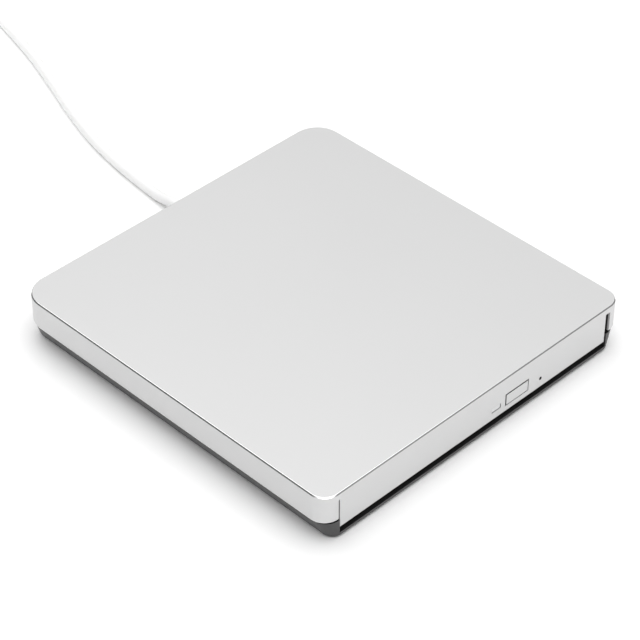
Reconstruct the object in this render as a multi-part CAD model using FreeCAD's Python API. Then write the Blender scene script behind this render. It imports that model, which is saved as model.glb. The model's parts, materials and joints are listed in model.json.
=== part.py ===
import FreeCAD, Part
import math
import os

# External tray-loading disc drive: a slim disc drive in a two-part case, with its cord and plug.
# Millimetres. Origin: centre of the case's footprint, on the surface it stands on.
# +X to the right seen from the front, +Y towards the back, +Z up.

V = FreeCAD.Vector
UP = V(0, 0, 1)

# Case
CASE_W = 142.0
CASE_D = 146.0
CASE_TOP = 19.5
SEAM_Z = 8.7
FOOT_H = 0.6
REAR_R = 10.0
FRONT_R = 6.0
EDGE = 0.4
WALL = 1.6
FLOOR_TOP = 2.2
CEILING = 18.0
FRONT_STEP, SIDE_STEP = 0.3, 0.85
BASE_TAPER = 3.5
BASE_ROLL = 0.9
BASE_BEND = 0.5  # the share of the taper that comes in evenly; the rest gathers lower down
BASE_LEVELS = (7.2, 5.7, 4.3, 3.0)
OPENING_X, BASE_OPENING_X = 64.7, 63.85
LIP_Z = 16.85
POST_DEPTH, BASE_POST_DEPTH = 7.0, 6.2
FOOT_R = 4.0
FOOT_X, FOOT_Y = 56.0, 62.0
BOSS_R, BOSS_SPLIT = 3.2, 7.0
CASE_SCREW_R, CASE_HEAD_R, CASE_HEAD_Z = 1.0, 1.95, (1.3, 2.6)

# Bridge board behind the drive
BOARD_Z = (9.8, 10.8)
BOARD_SCREW_X, BOARD_SCREW_Y, BOARD_SCREW_R = (-28.0, 34.0), 65.6, 0.8

# Drive inside the case
DRIVE_X = 64.0
DRIVE_BACK = 57.0
DRIVE_BOTTOM = 3.5
DRIVE_TOP = 16.2
SHEET = 0.5
PAN_FRONT = -66.5
LID_SCREW_Y, LID_SCREW_Z, LID_SCREW_R = (-48.0, 38.0), 7.2, 0.8

# Tray
BEZEL_FACE = -72.4
BEZEL_T = 3.0
BEZEL_SKIN = 1.8
BEZEL_X = 63.5
BEZEL_BOTTOM, BEZEL_TOP = 4.1, 16.5
TRAY_FRONT = BEZEL_FACE + BEZEL_T
TRAY_BACK = 54.8
TRAY_X = 62.0
DECK_BOTTOM, DECK_TOP = 10.2, 13.6
DISC_Y = -7.0
DISC_R, SMALL_DISC_R = 60.75, 40.75
DISC_FLOOR, SMALL_FLOOR = 12.0, 11.5
SKIRT_IN, SKIRT_OUT, SKIRT_BOTTOM = 56.5, 57.8, 4.6
RUNNER_X, RUNNER_Z = 60.0, (5.8, 8.4)
RAIL_X = (58.4, 60.8)
RAIL_Z = (5.0, 9.2)
RAIL_T = 0.6

# Front controls
BUTTON_X, BUTTON_Z, BUTTON_W, BUTTON_H = 18.9, 8.9, 10.5, 4.15
PIPE_X0, PIPE_X1, PIPE_Z0, PIPE_Z1 = 6.7, 10.6, 7.6, 9.1
PINHOLE_X, PINHOLE_Z, PINHOLE_R = 30.6, 7.9, 0.65
GAP = 0.45
PIPE_SIDE_GAP, PIPE_LOWER_GAP = 0.03, 0.38
BUTTON_PROUD = 0.15

# Traverse unit, in its own axes: u outwards along the pickup's path, v across it
TRAVERSE_TURN = 225.0
LENS_U = 24.0
ROD_V, ROD_Z, ROD_R = 14.8, 7.6, 1.0
ROD_U = (11.2, 61.5)
SCREW_V, SCREW_R, SCREW_END_R = 19.0, 1.5, 0.8
CHASSIS_Z = (4.9, 5.5)
DAMPERS = ((-19.0, -16.0), (-19.0, 9.0), (32.0, 25.5), (36.0, -21.0))
DAMPER_R, DAMPER_WAIST_R, DAMPER_BORE_R = 3.3, 1.85, 0.9
DAMPER_Z = (4.65, 8.6)
SHAFT_R, SLEEVE_R = 1.0, 2.4
RUN_CLEARANCE = 0.05
HUB_R, HUB_TOP = 7.45, 14.5
SEAT_Z = 12.5
RING_R, RING_Z = (8.7, 13.1), (SEAT_Z - 0.3, SEAT_Z + 0.4)

# Ejector: its pin and spring stand in a bore at the tray's back left
EJECTOR_X, EJECTOR_Z = -48.0, 8.3
EJECTOR_Y = (36.0, 56.3)
EJECTOR_R, COLLAR_R, COLLAR_Y = 1.1, 1.9, (48.4, 49.4)

# Latch
PIVOT_X, PIVOT_Y = 50.0, -57.0
POST_X, POST_Y, POST_R = 47.5, -50.4, 1.2
RELEASE_TURN = -16.0

# Cord, at its real size: where it leaves the case, its free stretch and its put-away coil
CORD_R = 2.0
EXIT_X, EXIT_Z = 12.3, 4.6
RELIEF_Y, RELIEF_END = 69.8, 82.0
RELIEF_R = 3.2
LEAD = [
    (12.3, 82.0, 4.6), (12.3, 88.0, 4.6), (12.4, 96.0, 2.3), (12.9, 108.0, 2.0), (14.2, 124.0, 2.0),
    (17.5, 141.0, 2.0), (22.6, 158.5, 2.0), (28.9, 177.0, 2.0), (35.6, 196.0, 2.0), (42.6, 217.5, 2.0),
    (49.6, 238.5, 2.0),
]
COIL_R = 24.2
COIL_TURNS = 2.5
COIL_START = -15.0
COIL_STEP = 4.5
COIL_LAST_RUN = 17.0
TAIL_RUN = 12.0
TAIL_TURN = -8.0
PLUG_Z = 3.9


def box(x0, x1, y0, y1, z0, z1):
    return Part.makeBox(x1 - x0, y1 - y0, z1 - z0, V(x0, y0, z0))


def disc(r, z0, z1, x=0.0, y=0.0):
    return Part.makeCylinder(r, z1 - z0, V(x, y, z0))


def rod(r, start, end):
    start, end = V(*start), V(*end)
    return Part.makeCylinder(r, (end - start).Length, start, end - start)


def join(shapes):
    return shapes[0].multiFuse(shapes[1:]).removeSplitter()


def both_sides(shape):
    return [shape, shape.mirror(V(0, 0, 0), V(1, 0, 0))]


def arc(centre, r, from_deg, to_deg, z):
    def at(deg):
        a = math.radians(deg)
        return V(centre[0] + r * math.cos(a), centre[1] + r * math.sin(a), z)

    return Part.Arc(at(from_deg), at((from_deg + to_deg) / 2), at(to_deg)).toShape()


def outline(x, front, back, front_r, rear_r, z):
    """Rounded rectangle from -x to x and from front to back, anticlockwise from the front left corner."""
    corners = [
        ((x - front_r, front + front_r), front_r, -90.0),
        ((x - rear_r, back - rear_r), rear_r, 0.0),
        ((-x + rear_r, back - rear_r), rear_r, 90.0),
        ((-x + front_r, front + front_r), front_r, 180.0),
    ]
    arcs = [arc(c, r, a, a + 90.0, z) for c, r, a in corners]
    edges = []
    for k, bend in enumerate(arcs):
        before = arcs[k - 1].lastVertex().Point
        edges += [Part.makeLine(before, bend.firstVertex().Point), bend]
    return Part.Wire(edges)


def prism(wire, height):
    return Part.Face(wire).extrude(V(0, 0, height))


def ruled(wires):
    return Part.makeLoft(wires, True, True)


def case_outline(z, inset, front_inset):
    return outline(
        CASE_W / 2 - inset,
        -CASE_D / 2 + front_inset,
        CASE_D / 2 - inset,
        max(FRONT_R - inset / 2, 1.0),
        max(REAR_R - inset, 1.0),
        z,
    )


def edges_at(shape, z):
    return [e for e in shape.Edges if all(abs(p.Point.z - z) < 1e-6 for p in e.Vertexes)]


def edges_along(shape, direction):
    return [e for e in shape.Edges if abs(e.tangentAt(0).dot(direction)) > 0.9]


def front_opening(z0, z1, x, depth=POST_DEPTH):
    """Between the two front posts, through the case's front wall."""
    return box(-x, x, -CASE_D, -CASE_D / 2 + depth, z0, z1)


def band(z, height, outer_inset, inner_inset):
    """A strip that follows the case's outline inside its walls, except across the front."""
    outer = prism(case_outline(z, outer_inset, WALL), height)
    inner = prism(case_outline(z, inner_inset, inner_inset), height)
    return outer.cut(Part.makeCompound([inner, front_opening(0, CASE_TOP, CASE_W)]))


# Enclosure


def post_return(x, behind_face, depth, z0, z1):
    """Wall that closes a front post on the side of the opening."""
    front = -CASE_D / 2
    return box(x, x + 1.2, front + behind_face, front + depth, z0, z1)


def top_cover():
    shell = prism(case_outline(SEAM_Z, 0.0, 0.0), CASE_TOP - SEAM_Z)
    shell = shell.makeChamfer(EDGE, edges_at(shell, CASE_TOP))
    cavity = prism(case_outline(SEAM_Z, WALL, WALL), CEILING - SEAM_Z)
    shell = shell.cut(Part.makeCompound([cavity, front_opening(SEAM_Z, LIP_Z, OPENING_X)]))
    returns = both_sides(post_return(OPENING_X, 0.4, POST_DEPTH, SEAM_Z, CEILING))
    bosses = both_sides(disc(BOSS_R - 0.2, BOSS_SPLIT + 0.1, CEILING, FOOT_X, FOOT_Y))
    pilots = both_sides(disc(CASE_SCREW_R + 0.05, BOSS_SPLIT, 15.0, FOOT_X, FOOT_Y))
    return join([shell] + returns + bosses).cut(Part.makeCompound(pilots))


def base_section(z, side, end):
    """One level of the lower case, so far inside the upper one at its sides and at its two ends."""
    half_w, half_d = CASE_W / 2 - side, CASE_D / 2 - end
    return outline(half_w, -half_d, half_d, FRONT_R - side / 2, REAR_R - side, z)


def base_inset(z):
    """The sides curve in below the seam; the front and the back are upright."""
    down = (SEAM_Z - z) / (SEAM_Z - FOOT_H)
    return SIDE_STEP + BASE_TAPER * (BASE_BEND * down + (1 - BASE_BEND) * down**2)


def base_case():
    roll_z = FOOT_H + BASE_ROLL
    side, end = base_inset(roll_z), FRONT_STEP
    sides = [base_section(z, base_inset(z), end) for z in (SEAM_Z, *BASE_LEVELS, roll_z)]
    outer = ruled(
        sides
        + [
            base_section(FOOT_H + BASE_ROLL * 0.35, side + BASE_ROLL * 0.3, end + 0.15),
            base_section(FOOT_H, side + BASE_ROLL, end + 0.5),
        ]
    )
    within = [(z, base_inset(z) + WALL) for z in (SEAM_Z, *BASE_LEVELS, FLOOR_TOP)]
    inner = ruled([base_section(z, inset, end + WALL) for z, inset in within])
    opening = front_opening(FLOOR_TOP, CASE_TOP, BASE_OPENING_X, BASE_POST_DEPTH)
    shell = outer.cut(Part.makeCompound([inner, opening]))
    tongue = band(SEAM_Z, 1.5, WALL + 0.1, WALL + 1.0)
    shelf = band(SEAM_Z - 1.2, 1.2, WALL - 0.1, WALL + 1.0)
    low = FLOOR_TOP - 0.2
    returns = both_sides(post_return(BASE_OPENING_X, FRONT_STEP + 0.4, BASE_POST_DEPTH, low, SEAM_Z))
    supports = [box(-60, 60, y, y + 3, low, DRIVE_BOTTOM) for y in (-58.0, 0.0, 50.0)]
    locators = [s for y in (-30.0, 12.0) for s in both_sides(box(DRIVE_X + 0.15, 66.8, y, y + 3, low, 7.5))]
    bosses = both_sides(disc(BOSS_R, low, BOSS_SPLIT, FOOT_X, FOOT_Y))
    stands = [disc(2.4, low, BOARD_Z[0], x, BOARD_SCREW_Y) for x in BOARD_SCREW_X]
    solid = join([shell, tongue, shelf] + returns + supports + locators + bosses + stands)
    cuts = [disc(FOOT_R + 0.05, 0, 1.0, x, y) for x in (-FOOT_X, FOOT_X) for y in (-FOOT_Y, FOOT_Y)]
    cuts += both_sides(disc(CASE_HEAD_R + 0.15, 0, CASE_HEAD_Z[1], FOOT_X, FOOT_Y))
    cuts += both_sides(disc(CASE_SCREW_R + 0.15, 0, BOSS_SPLIT + 1, FOOT_X, FOOT_Y))
    cuts += [disc(BOARD_SCREW_R + 0.05, 4.0, BOARD_Z[0], x, BOARD_SCREW_Y) for x in BOARD_SCREW_X]
    cuts.append(rod(RELIEF_R + 0.1, (EXIT_X, RELIEF_Y, EXIT_Z), (EXIT_X, 80, EXIT_Z)))
    return solid.cut(Part.makeCompound(cuts))


def rubber_feet():
    feet = []
    for x in (-FOOT_X, FOOT_X):
        for y in (-FOOT_Y, FOOT_Y):
            foot = disc(FOOT_R, 0, 1.0, x, y)
            feet.append(foot.makeFillet(0.25, edges_at(foot, 0.0)))
    return feet


def screw(x, y, head_r, head_z, shank_r, shank_z):
    """A screw along Z: its head spans head_z, its shank runs on to shank_z, and it has a cross recess."""
    low, high = head_z
    shank = disc(shank_r, min(high, shank_z), max(low, shank_z), x, y)
    outside = low if shank_z > high else high
    inside = low + 0.6 if shank_z > high else high - 0.6
    z0, z1 = sorted((outside, inside))
    slots = [box(x - 0.6 * head_r, x + 0.6 * head_r, y - 0.15, y + 0.15, z0, z1)]
    slots.append(box(x - 0.15, x + 0.15, y - 0.6 * head_r, y + 0.6 * head_r, z0, z1))
    return join([disc(head_r, low, high, x, y), shank]).cut(Part.makeCompound(slots))


def case_screws():
    return [screw(x, FOOT_Y, CASE_HEAD_R, CASE_HEAD_Z, CASE_SCREW_R, 13.0) for x in (-FOOT_X, FOOT_X)]


def foam_pads():
    return [box(-50, 50, y, y + 12, DRIVE_TOP, CEILING) for y in (-56.0, 38.0)]


# Bridge electronics behind the drive


def bridge_board():
    board = box(-32, 38, 58.4, 70.0, *BOARD_Z)
    return board.cut(Part.makeCompound([disc(1.05, 9, 12, x, BOARD_SCREW_Y) for x in BOARD_SCREW_X]))


def board_screws():
    top = BOARD_Z[1]
    return [screw(x, BOARD_SCREW_Y, 1.7, (top, top + 1.0), BOARD_SCREW_R, 5.0) for x in BOARD_SCREW_X]


def bridge_plug():
    body = box(-13, 13, DRIVE_BACK + 0.7, 64.0, 5.0, 9.8)
    return join([body, box(-8, 8, 53.6, DRIVE_BACK + 0.8, 7.0, 7.9)])


def bridge_chip():
    return box(-19, -12, 61, 68, BOARD_Z[1], BOARD_Z[1] + 0.9)


def board_components():
    """A row of chip capacitors, two upright capacitors and a crystal can."""
    z = BOARD_Z[1]
    row = [box(x, x + 1.6, 66.5, 67.3, z, z + 0.8) for x in (-8.0, -5.4, -2.8, -0.2, 2.4)]
    cans = [disc(2.0, z, z + 5.0, x, 63.0) for x in (18.0, 25.0)]
    crystal = box(4.5, 9.5, 61.4, 64.6, z, z + 1.1)
    return row + cans + [crystal.makeFillet(0.6, edges_along(crystal, UP))]


def cable_wires():
    """Four wires from the cord's end to the underside of the bridge board."""
    wires = []
    for x in (-3.6, -1.2, 1.2, 3.6):
        near, far = EXIT_X + 0.3 * x, EXIT_X + x
        points = [(near, RELIEF_Y, EXIT_Z), (near, 66.6, EXIT_Z), (far, 65.2, 5.4), (far, 65.2, BOARD_Z[0])]
        wires.append(tube(points, 0.35)[0])
    return wires


# Slim drive, fixed side


def lid_screw_holes():
    z, r = LID_SCREW_Z, LID_SCREW_R + 0.05
    return [rod(r, (-CASE_W / 2, y, z), (CASE_W / 2, y, z)) for y in LID_SCREW_Y]


def drive_pan():
    x, z = DRIVE_X - 0.6, DRIVE_BOTTOM
    floor = box(-x, x, PAN_FRONT, DRIVE_BACK, z, z + SHEET)
    sides = both_sides(box(x - SHEET, x, PAN_FRONT, DRIVE_BACK, z, DRIVE_TOP - SHEET))
    back = box(-x, x, DRIVE_BACK - SHEET, DRIVE_BACK, z, DRIVE_TOP - SHEET)
    holes = lid_screw_holes()
    holes.append(box(-12, 12, DRIVE_BACK - 2, DRIVE_BACK + 1, z + 1.2, 10.4))
    return join([floor, back] + sides).cut(Part.makeCompound(holes))


def drive_lid():
    plate = box(-DRIVE_X, DRIVE_X, PAN_FRONT, DRIVE_BACK + 0.6, DRIVE_TOP - SHEET, DRIVE_TOP)
    flanges = both_sides(box(DRIVE_X - SHEET, DRIVE_X, PAN_FRONT, DRIVE_BACK, 5.4, DRIVE_TOP))
    back = box(-DRIVE_X, DRIVE_X, DRIVE_BACK + 0.1, DRIVE_BACK + 0.6, 11.5, DRIVE_TOP)
    ribs = [box(-40, 40, y, y + 2.5, DRIVE_TOP, DRIVE_TOP + 0.4) for y in (-24.0, 0.0, 24.0)]
    return join([plate, back] + flanges + ribs).cut(Part.makeCompound(lid_screw_holes()))


def lid_screws():
    screws = []
    for y in LID_SCREW_Y:
        for side in (-1, 1):
            z, face = LID_SCREW_Z, side * DRIVE_X
            head = rod(1.5, (face, y, z), (face + side * 0.5, y, z))
            shank = rod(LID_SCREW_R, (side * 61.6, y, z), (face, y, z))
            slot = box(-0.15, 0.15, y - 0.9, y + 0.9, z - 0.15, z + 0.15)
            slot.translate(V(face + side * 0.45, 0, 0))
            screws.append(join([head, shank]).cut(slot))
    return screws


def right_guide():
    front, back = PAN_FRONT + 0.5, 50.0
    web = box(61.05, DRIVE_X - 1.15, front, back, 4.2, 10.0)
    lips = [box(60.0, 61.5, front, back, *z) for z in ((4.2, 4.8), (9.4, 10.0))]
    return join([web] + lips).cut(Part.makeCompound(lid_screw_holes()))


def latch_post():
    post = disc(POST_R, DRIVE_BOTTOM + SHEET, 8.2, POST_X, POST_Y)
    return post.makeChamfer(0.3, edges_at(post, 8.2))


DRIVE_BOARD_Z = (4.6, 5.4)


def drive_board():
    board = box(-54, 54, 33, 55.6, *DRIVE_BOARD_Z)
    stands = [box(x, x + 4, 34, 55, DRIVE_BOTTOM + SHEET, DRIVE_BOARD_Z[0]) for x in (-54, 24, 50)]
    return join([board] + stands)


def drive_chips():
    z = DRIVE_BOARD_Z[1]
    large = [box(-34, -24, 38, 48, z, z + 1.0), box(-18, -13, 38, 46, z, z + 0.9)]
    small = [box(14, 19, 42, 47, z, z + 0.8)]
    return large + small + [box(x, x + 1.6, 36, 36.8, z, z + 0.8) for x in (-10.0, -7.0, -4.0, -1.0, 2.0)]


def drive_socket():
    body = box(-11, 11, 50, DRIVE_BACK + 0.6, DRIVE_BOARD_Z[1], 9.4)
    return body.cut(box(-8.3, 8.3, 53.3, 60, 6.8, 8.1))


FLEX_X = (35.0, 45.0)
FLEX_T = 0.15
FLEX_FOLD_R = 2.0
FLEX_FOLD_Y = -35.0
FLEX_SLOPE = 4.0
FLEX_BOARD_END, FLEX_TRAY_END = 37.0, 30.0


def flex_cable():
    """Flat cable: along the pan, folded back under the tray, and up to the tray's underside."""
    low = DRIVE_BOTTOM + SHEET + 0.05
    x0, x1 = FLEX_X
    high = low + 2 * FLEX_FOLD_R
    centre = V(x0, FLEX_FOLD_Y, low + FLEX_FOLD_R)
    half = Part.makeCylinder(FLEX_FOLD_R, x1 - x0, centre, V(1, 0, 0)).cut(
        Part.makeCylinder(FLEX_FOLD_R - FLEX_T, x1 - x0, centre, V(1, 0, 0))
    )
    half = half.common(box(x0, x1, FLEX_FOLD_Y - 5, FLEX_FOLD_Y, 0, 20))
    strips = [half]
    board_z, tray_z = DRIVE_BOARD_Z[1], DECK_BOTTOM - FLEX_T
    for z, end_y, end_z in ((low, FLEX_BOARD_END, board_z), (high - FLEX_T, FLEX_TRAY_END, tray_z)):
        flat_y = end_y - FLEX_SLOPE
        slope_y = flat_y - FLEX_SLOPE
        strips.append(box(x0, x1, FLEX_FOLD_Y, slope_y, z, z + FLEX_T))
        strips.append(sloped_strip(x0, x1, (slope_y, z), (flat_y, end_z)))
        strips.append(box(x0, x1, flat_y, end_y, end_z, end_z + FLEX_T))
    return join(strips)


def sloped_strip(x0, x1, start, end):
    (ya, za), (yb, zb) = start, end
    points = [V(x0, ya, za), V(x0, yb, zb), V(x0, yb, zb + FLEX_T), V(x0, ya, za + FLEX_T), V(x0, ya, za)]
    return Part.Face(Part.makePolygon(points)).extrude(V(x1 - x0, 0, 0))


# Tray


def on_traverse(shape):
    turned = shape.copy()
    turned.rotate(V(0, 0, 0), UP, TRAVERSE_TURN)
    turned.translate(V(0, DISC_Y, 0))
    return turned


def inside_tray(shape, margin=0.0):
    """What of a shape in the traverse's axes lies clear of the tray's skirt and its front."""
    clip = box(-55.8 + margin, 60, -66.0 + margin, 60, 0, 20)
    clip.translate(V(0, -DISC_Y, 0))
    clip.rotate(V(0, 0, 0), UP, -TRAVERSE_TURN)
    return shape.common(clip)


def on_ejector(r, y0, y1):
    return rod(r, (EJECTOR_X, y0, EJECTOR_Z), (EJECTOR_X, y1, EJECTOR_Z))


def traverse_opening(grow, z0, z1):
    slot = box(0, 66 + grow, -15.0 - grow, 15.0 + grow, z0, z1)
    return inside_tray(join([disc(15.0 + grow, z0, z1), slot]), 0.5 - grow)


def tray():
    deck = prism(outline(TRAY_X, TRAY_FRONT, TRAY_BACK, 0.5, 9.0, DECK_BOTTOM), DECK_TOP - DECK_BOTTOM)
    recess = disc(DISC_R, DISC_FLOOR, 20, 0, DISC_Y)
    inner = disc(SMALL_DISC_R, SMALL_FLOOR, 20, 0, DISC_Y)
    skirts = both_sides(box(SKIRT_IN, SKIRT_OUT, TRAY_FRONT, 46, SKIRT_BOTTOM, DECK_BOTTOM + 0.2))
    runners = both_sides(box(SKIRT_OUT - 0.2, RUNNER_X, TRAY_FRONT + 3, 46, *RUNNER_Z))
    ribs = [
        box(32.5, 33.7, -50, 30, SKIRT_BOTTOM, DECK_BOTTOM + 0.2),
        box(-56.5, -2, TRAY_FRONT, TRAY_FRONT + 1.2, 5.8, DECK_BOTTOM + 0.2),
        box(46.5, 57, TRAY_FRONT, TRAY_FRONT + 1.2, 5.8, DECK_BOTTOM + 0.2),
        box(-51, -45, 34.5, 51, 6.0, DECK_BOTTOM + 0.2),
        disc(1.0, 5.4, DECK_BOTTOM + 0.2, PIVOT_X, PIVOT_Y),
    ]
    bosses = [on_traverse(disc(2.0, DAMPER_Z[1], DECK_BOTTOM + 0.2, u, v)) for u, v in DAMPERS]
    solid = join([deck] + skirts + runners + ribs + bosses)
    cuts = [recess, inner, on_traverse(traverse_opening(0.5, 5, 20))]
    cuts += [on_traverse(disc(0.85, 5, 11.2, u, v)) for u, v in DAMPERS]
    cuts.append(on_ejector(COLLAR_R + 0.15, EJECTOR_Y[0] - 0.5, COLLAR_Y[1] + 0.2))
    cuts.append(on_ejector(EJECTOR_R + 0.15, COLLAR_Y[1] - 0.4, EJECTOR_Y[1]))
    return solid.cut(Part.makeCompound(cuts))


def tray_bezel():
    block = box(-BEZEL_X, BEZEL_X, BEZEL_FACE, TRAY_FRONT, BEZEL_BOTTOM, BEZEL_TOP)
    block = block.makeFillet(0.3, edges_at_front(block, BEZEL_FACE))
    skin = BEZEL_FACE + BEZEL_SKIN
    pocket = box(-62.6, 62.6, skin, TRAY_FRONT, 5.0, DECK_BOTTOM)
    flange_pocket = box(BUTTON_X - 6.6, BUTTON_X + 6.6, skin, TRAY_FRONT, 5.0, 12.0)
    button = box(
        BUTTON_X - BUTTON_W / 2 - GAP, BUTTON_X + BUTTON_W / 2 + GAP, -74, -70,
        BUTTON_Z - BUTTON_H / 2 - GAP, BUTTON_Z + BUTTON_H / 2 + GAP,
    )
    near, below = PIPE_SIDE_GAP, PIPE_LOWER_GAP
    pipe = box(PIPE_X0 - near, PIPE_X1 + below, -74, -70, PIPE_Z0 - below, PIPE_Z1 + near)
    pinhole = rod(PINHOLE_R, (PINHOLE_X, -74, PINHOLE_Z), (PINHOLE_X, -68, PINHOLE_Z))
    return block.cut(Part.makeCompound([pocket, flange_pocket, button, pipe, pinhole]))


def edges_at_front(shape, y):
    return [e for e in shape.Edges if all(abs(p.Point.y - y) < 1e-6 for p in e.Vertexes)]


def eject_button():
    x0, x1 = BUTTON_X - BUTTON_W / 2, BUTTON_X + BUTTON_W / 2
    z0, z1 = BUTTON_Z - BUTTON_H / 2, BUTTON_Z + BUTTON_H / 2
    face, rear = BEZEL_FACE - BUTTON_PROUD, BEZEL_FACE + 2.4
    cap = box(x0, x1, face, rear, z0, z1)
    cap = cap.makeFillet(0.12, edges_at_front(cap, face))
    flange = box(x0 - 0.9, x1 + 0.9, BEZEL_FACE + BEZEL_SKIN + 0.1, rear, z0 - 0.75, z1 + 0.75)
    stem = box(BUTTON_X - 1.5, BUTTON_X + 1.5, rear - 0.1, -66.8, BUTTON_Z - 1.5, BUTTON_Z + 0.9)
    return join([cap, flange, stem])


def led_light_pipe():
    return box(PIPE_X0, PIPE_X1, BEZEL_FACE, -68.0, PIPE_Z0, PIPE_Z1)


def tray_bottom_cover():
    plate = box(-SKIRT_OUT, 33.7, -65.8, 30, SKIRT_BOTTOM - 0.3, SKIRT_BOTTOM)
    holes = [on_traverse(disc(2.2, 4, 5, u, v)) for u, v in DAMPERS]
    return plate.cut(Part.makeCompound(holes))


def front_board():
    board = box(3, 27, -68.6, -60, 5.0, 5.8)
    return join([board, box(24, 27, -64, -60, 5.8, DECK_BOTTOM)])


def tact_switch():
    case = box(16.6, 21.4, -65.4, -62.2, 5.8, 9.6)
    return join([case, box(17.8, 20.2, -66.2, -65.4, 7.2, 9.2)])


def led_chip():
    return box(7.4, 10.0, -67.6, -66.2, 5.8, 9.0)


def latch_solenoid():
    can = box(36, 46, -67.6, -62.6, 5.4, DECK_BOTTOM)
    plunger = rod(1.0, (45.5, -65.1, 7.6), (49.0, -65.1, 7.6))
    return join([can, plunger, box(48.5, 49.3, -66.1, -63.4, 6.8, 8.4)])


def latch_lever():
    """Hooks the post when engaged; drawn engaged, then turned to its released place, where it rests."""
    z0, z1 = 6.4, 8.4
    hub = disc(2.6, z0, z1, PIVOT_X, PIVOT_Y)
    arm = box(PIVOT_X - 0.9, PIVOT_X + 0.9, PIVOT_Y, PIVOT_Y + 10.2, z0, z1 - 0.6)
    tooth = box(PIVOT_X - 3.2, PIVOT_X + 0.9, PIVOT_Y + 8.4, PIVOT_Y + 10.2, z0, z1 - 0.6)
    reach = box(PIVOT_X - 20.0, PIVOT_X, PIVOT_Y - 0.9, PIVOT_Y + 0.9, z0, z1 - 0.2)
    reach.rotate(V(PIVOT_X, PIVOT_Y, 0), UP, 10.0)
    lever = join([hub, arm, tooth, reach]).cut(disc(1.0 + RUN_CLEARANCE, 0, 20, PIVOT_X, PIVOT_Y))
    lever.rotate(V(PIVOT_X, PIVOT_Y, 0), UP, RELEASE_TURN)
    return lever


def coil_points(centre, radius, pitch, turns, per_turn):
    return [
        (
            V(
                centre[0] + radius * math.cos(2 * math.pi * k / per_turn),
                centre[1] + pitch * k / per_turn,
                centre[2] + radius * math.sin(2 * math.pi * k / per_turn),
            ),
            V(
                -radius * 2 * math.pi * math.sin(2 * math.pi * k / per_turn),
                pitch,
                radius * 2 * math.pi * math.cos(2 * math.pi * k / per_turn),
            ).normalize(),
        )
        for k in range(int(turns * per_turn) + 1)
    ]


def eject_spring():
    wire_r, radius, pitch, turns = 0.18, 1.62, 1.15, 10
    spine = biarc_wire(coil_points((EJECTOR_X, EJECTOR_Y[0], EJECTOR_Z), radius, pitch, turns, 4))
    return pipe(spine, wire_r)


def eject_plunger():
    return join([on_ejector(EJECTOR_R, *EJECTOR_Y), on_ejector(COLLAR_R, *COLLAR_Y)])


# Rails


def right_rail():
    x0, x1 = RAIL_X
    z0, z1 = RAIL_Z
    outer = box(x0, x1, -64.0, 46.0, z0, z1)
    return outer.cut(box(x0 - 1, x1 - RAIL_T, -65.0, 47.0, z0 + RAIL_T, z1 - RAIL_T))


# Traverse unit


def traverse_chassis():
    z0, z1 = CHASSIS_Z
    plate = [box(-23, 62, -17.5, 21.5, z0, z1)]
    plate += [disc(4.4, z0, z1, u, v) for u, v in DAMPERS]
    plate = inside_tray(join(plate), 0.4)
    plate = plate.cut(Part.makeCompound([box(16, 57, -11, 11, 0, 9), box(-16.5, -3.9, 17.2, 22, 0, 9)]))
    holders = []
    for u0, u1 in ((10.0, 13.0), (60.1, 61.6)):
        for v in (-ROD_V, ROD_V):
            holders.append(box(u0, u1, v - 1.8, v + 1.8, z1 - 0.1, 10.0))
        holders += [box(u0, u1, 12.8, 14.6, 9.9, 10.9), box(u0, u1, -14.6, -12.8, 9.9, 10.9)]
    seats = [disc(DAMPER_WAIST_R, z0, z1, u, v) for u, v in DAMPERS]
    return on_traverse(join([plate] + holders).cut(Part.makeCompound(rod_pair(ROD_R, ROD_U) + seats)))


def rod_pair(r, span):
    return [rod(r, (span[0], v, ROD_Z), (span[1], v, ROD_Z)) for v in (-ROD_V, ROD_V)]


def guide_rods():
    return [on_traverse(each) for each in rod_pair(ROD_R, ROD_U)]


def damper_bushings():
    """Rubber spools: the chassis sits in the waist of each."""
    z0, z1 = CHASSIS_Z
    spools = []
    for u, v in DAMPERS:
        spool = [disc(DAMPER_R, DAMPER_Z[0], z0, u, v), disc(DAMPER_WAIST_R, z0, z1, u, v)]
        spool.append(disc(DAMPER_R, z1, DAMPER_Z[1], u, v))
        spools.append(on_traverse(join(spool).cut(disc(DAMPER_BORE_R, 0, 20, u, v))))
    return spools


def traverse_screws():
    top = DAMPER_Z[0]
    screws = []
    for u, v in DAMPERS:
        screws.append(join([disc(2.0, top - 0.6, top, u, v), disc(0.8, top - 0.05, 10.8, u, v)]))
    return [on_traverse(each) for each in screws]


def traverse_cover():
    z0, z1 = 10.9, 11.5
    panel = traverse_opening(0.0, z0, z1)
    slot = inside_tray(box(15.5, 66, -9.3, 9.3, 0, 20), 2.0)
    return on_traverse(panel.cut(Part.makeCompound([disc(14.0, 0, 20), slot])))


def spindle_base():
    sleeve = disc(SLEEVE_R, 6.1, 10.1).cut(disc(SHAFT_R + RUN_CLEARANCE, 5.8, 11))
    plate = disc(12.0, CHASSIS_Z[1], 6.2)
    return on_traverse(join([plate, sleeve]).cut(disc(SHAFT_R + RUN_CLEARANCE, 5.9, 11)))


def stator_core():
    arms = []
    for k in range(9):
        arm = join([box(2.6, 8.0, -0.8, 0.8, 7.4, 9.2), box(7.6, 8.7, -2.2, 2.2, 7.1, 9.5)])
        coil = box(4.2, 7.0, -1.15, 1.15, 7.0, 9.6)
        arm = join([arm, coil])
        arm.rotate(V(0, 0, 0), UP, 40.0 * k)
        arms.append(arm)
    ring = disc(3.6, 7.1, 9.5)
    return on_traverse(join([ring] + arms).cut(disc(SLEEVE_R, 0, 20)))


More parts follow.
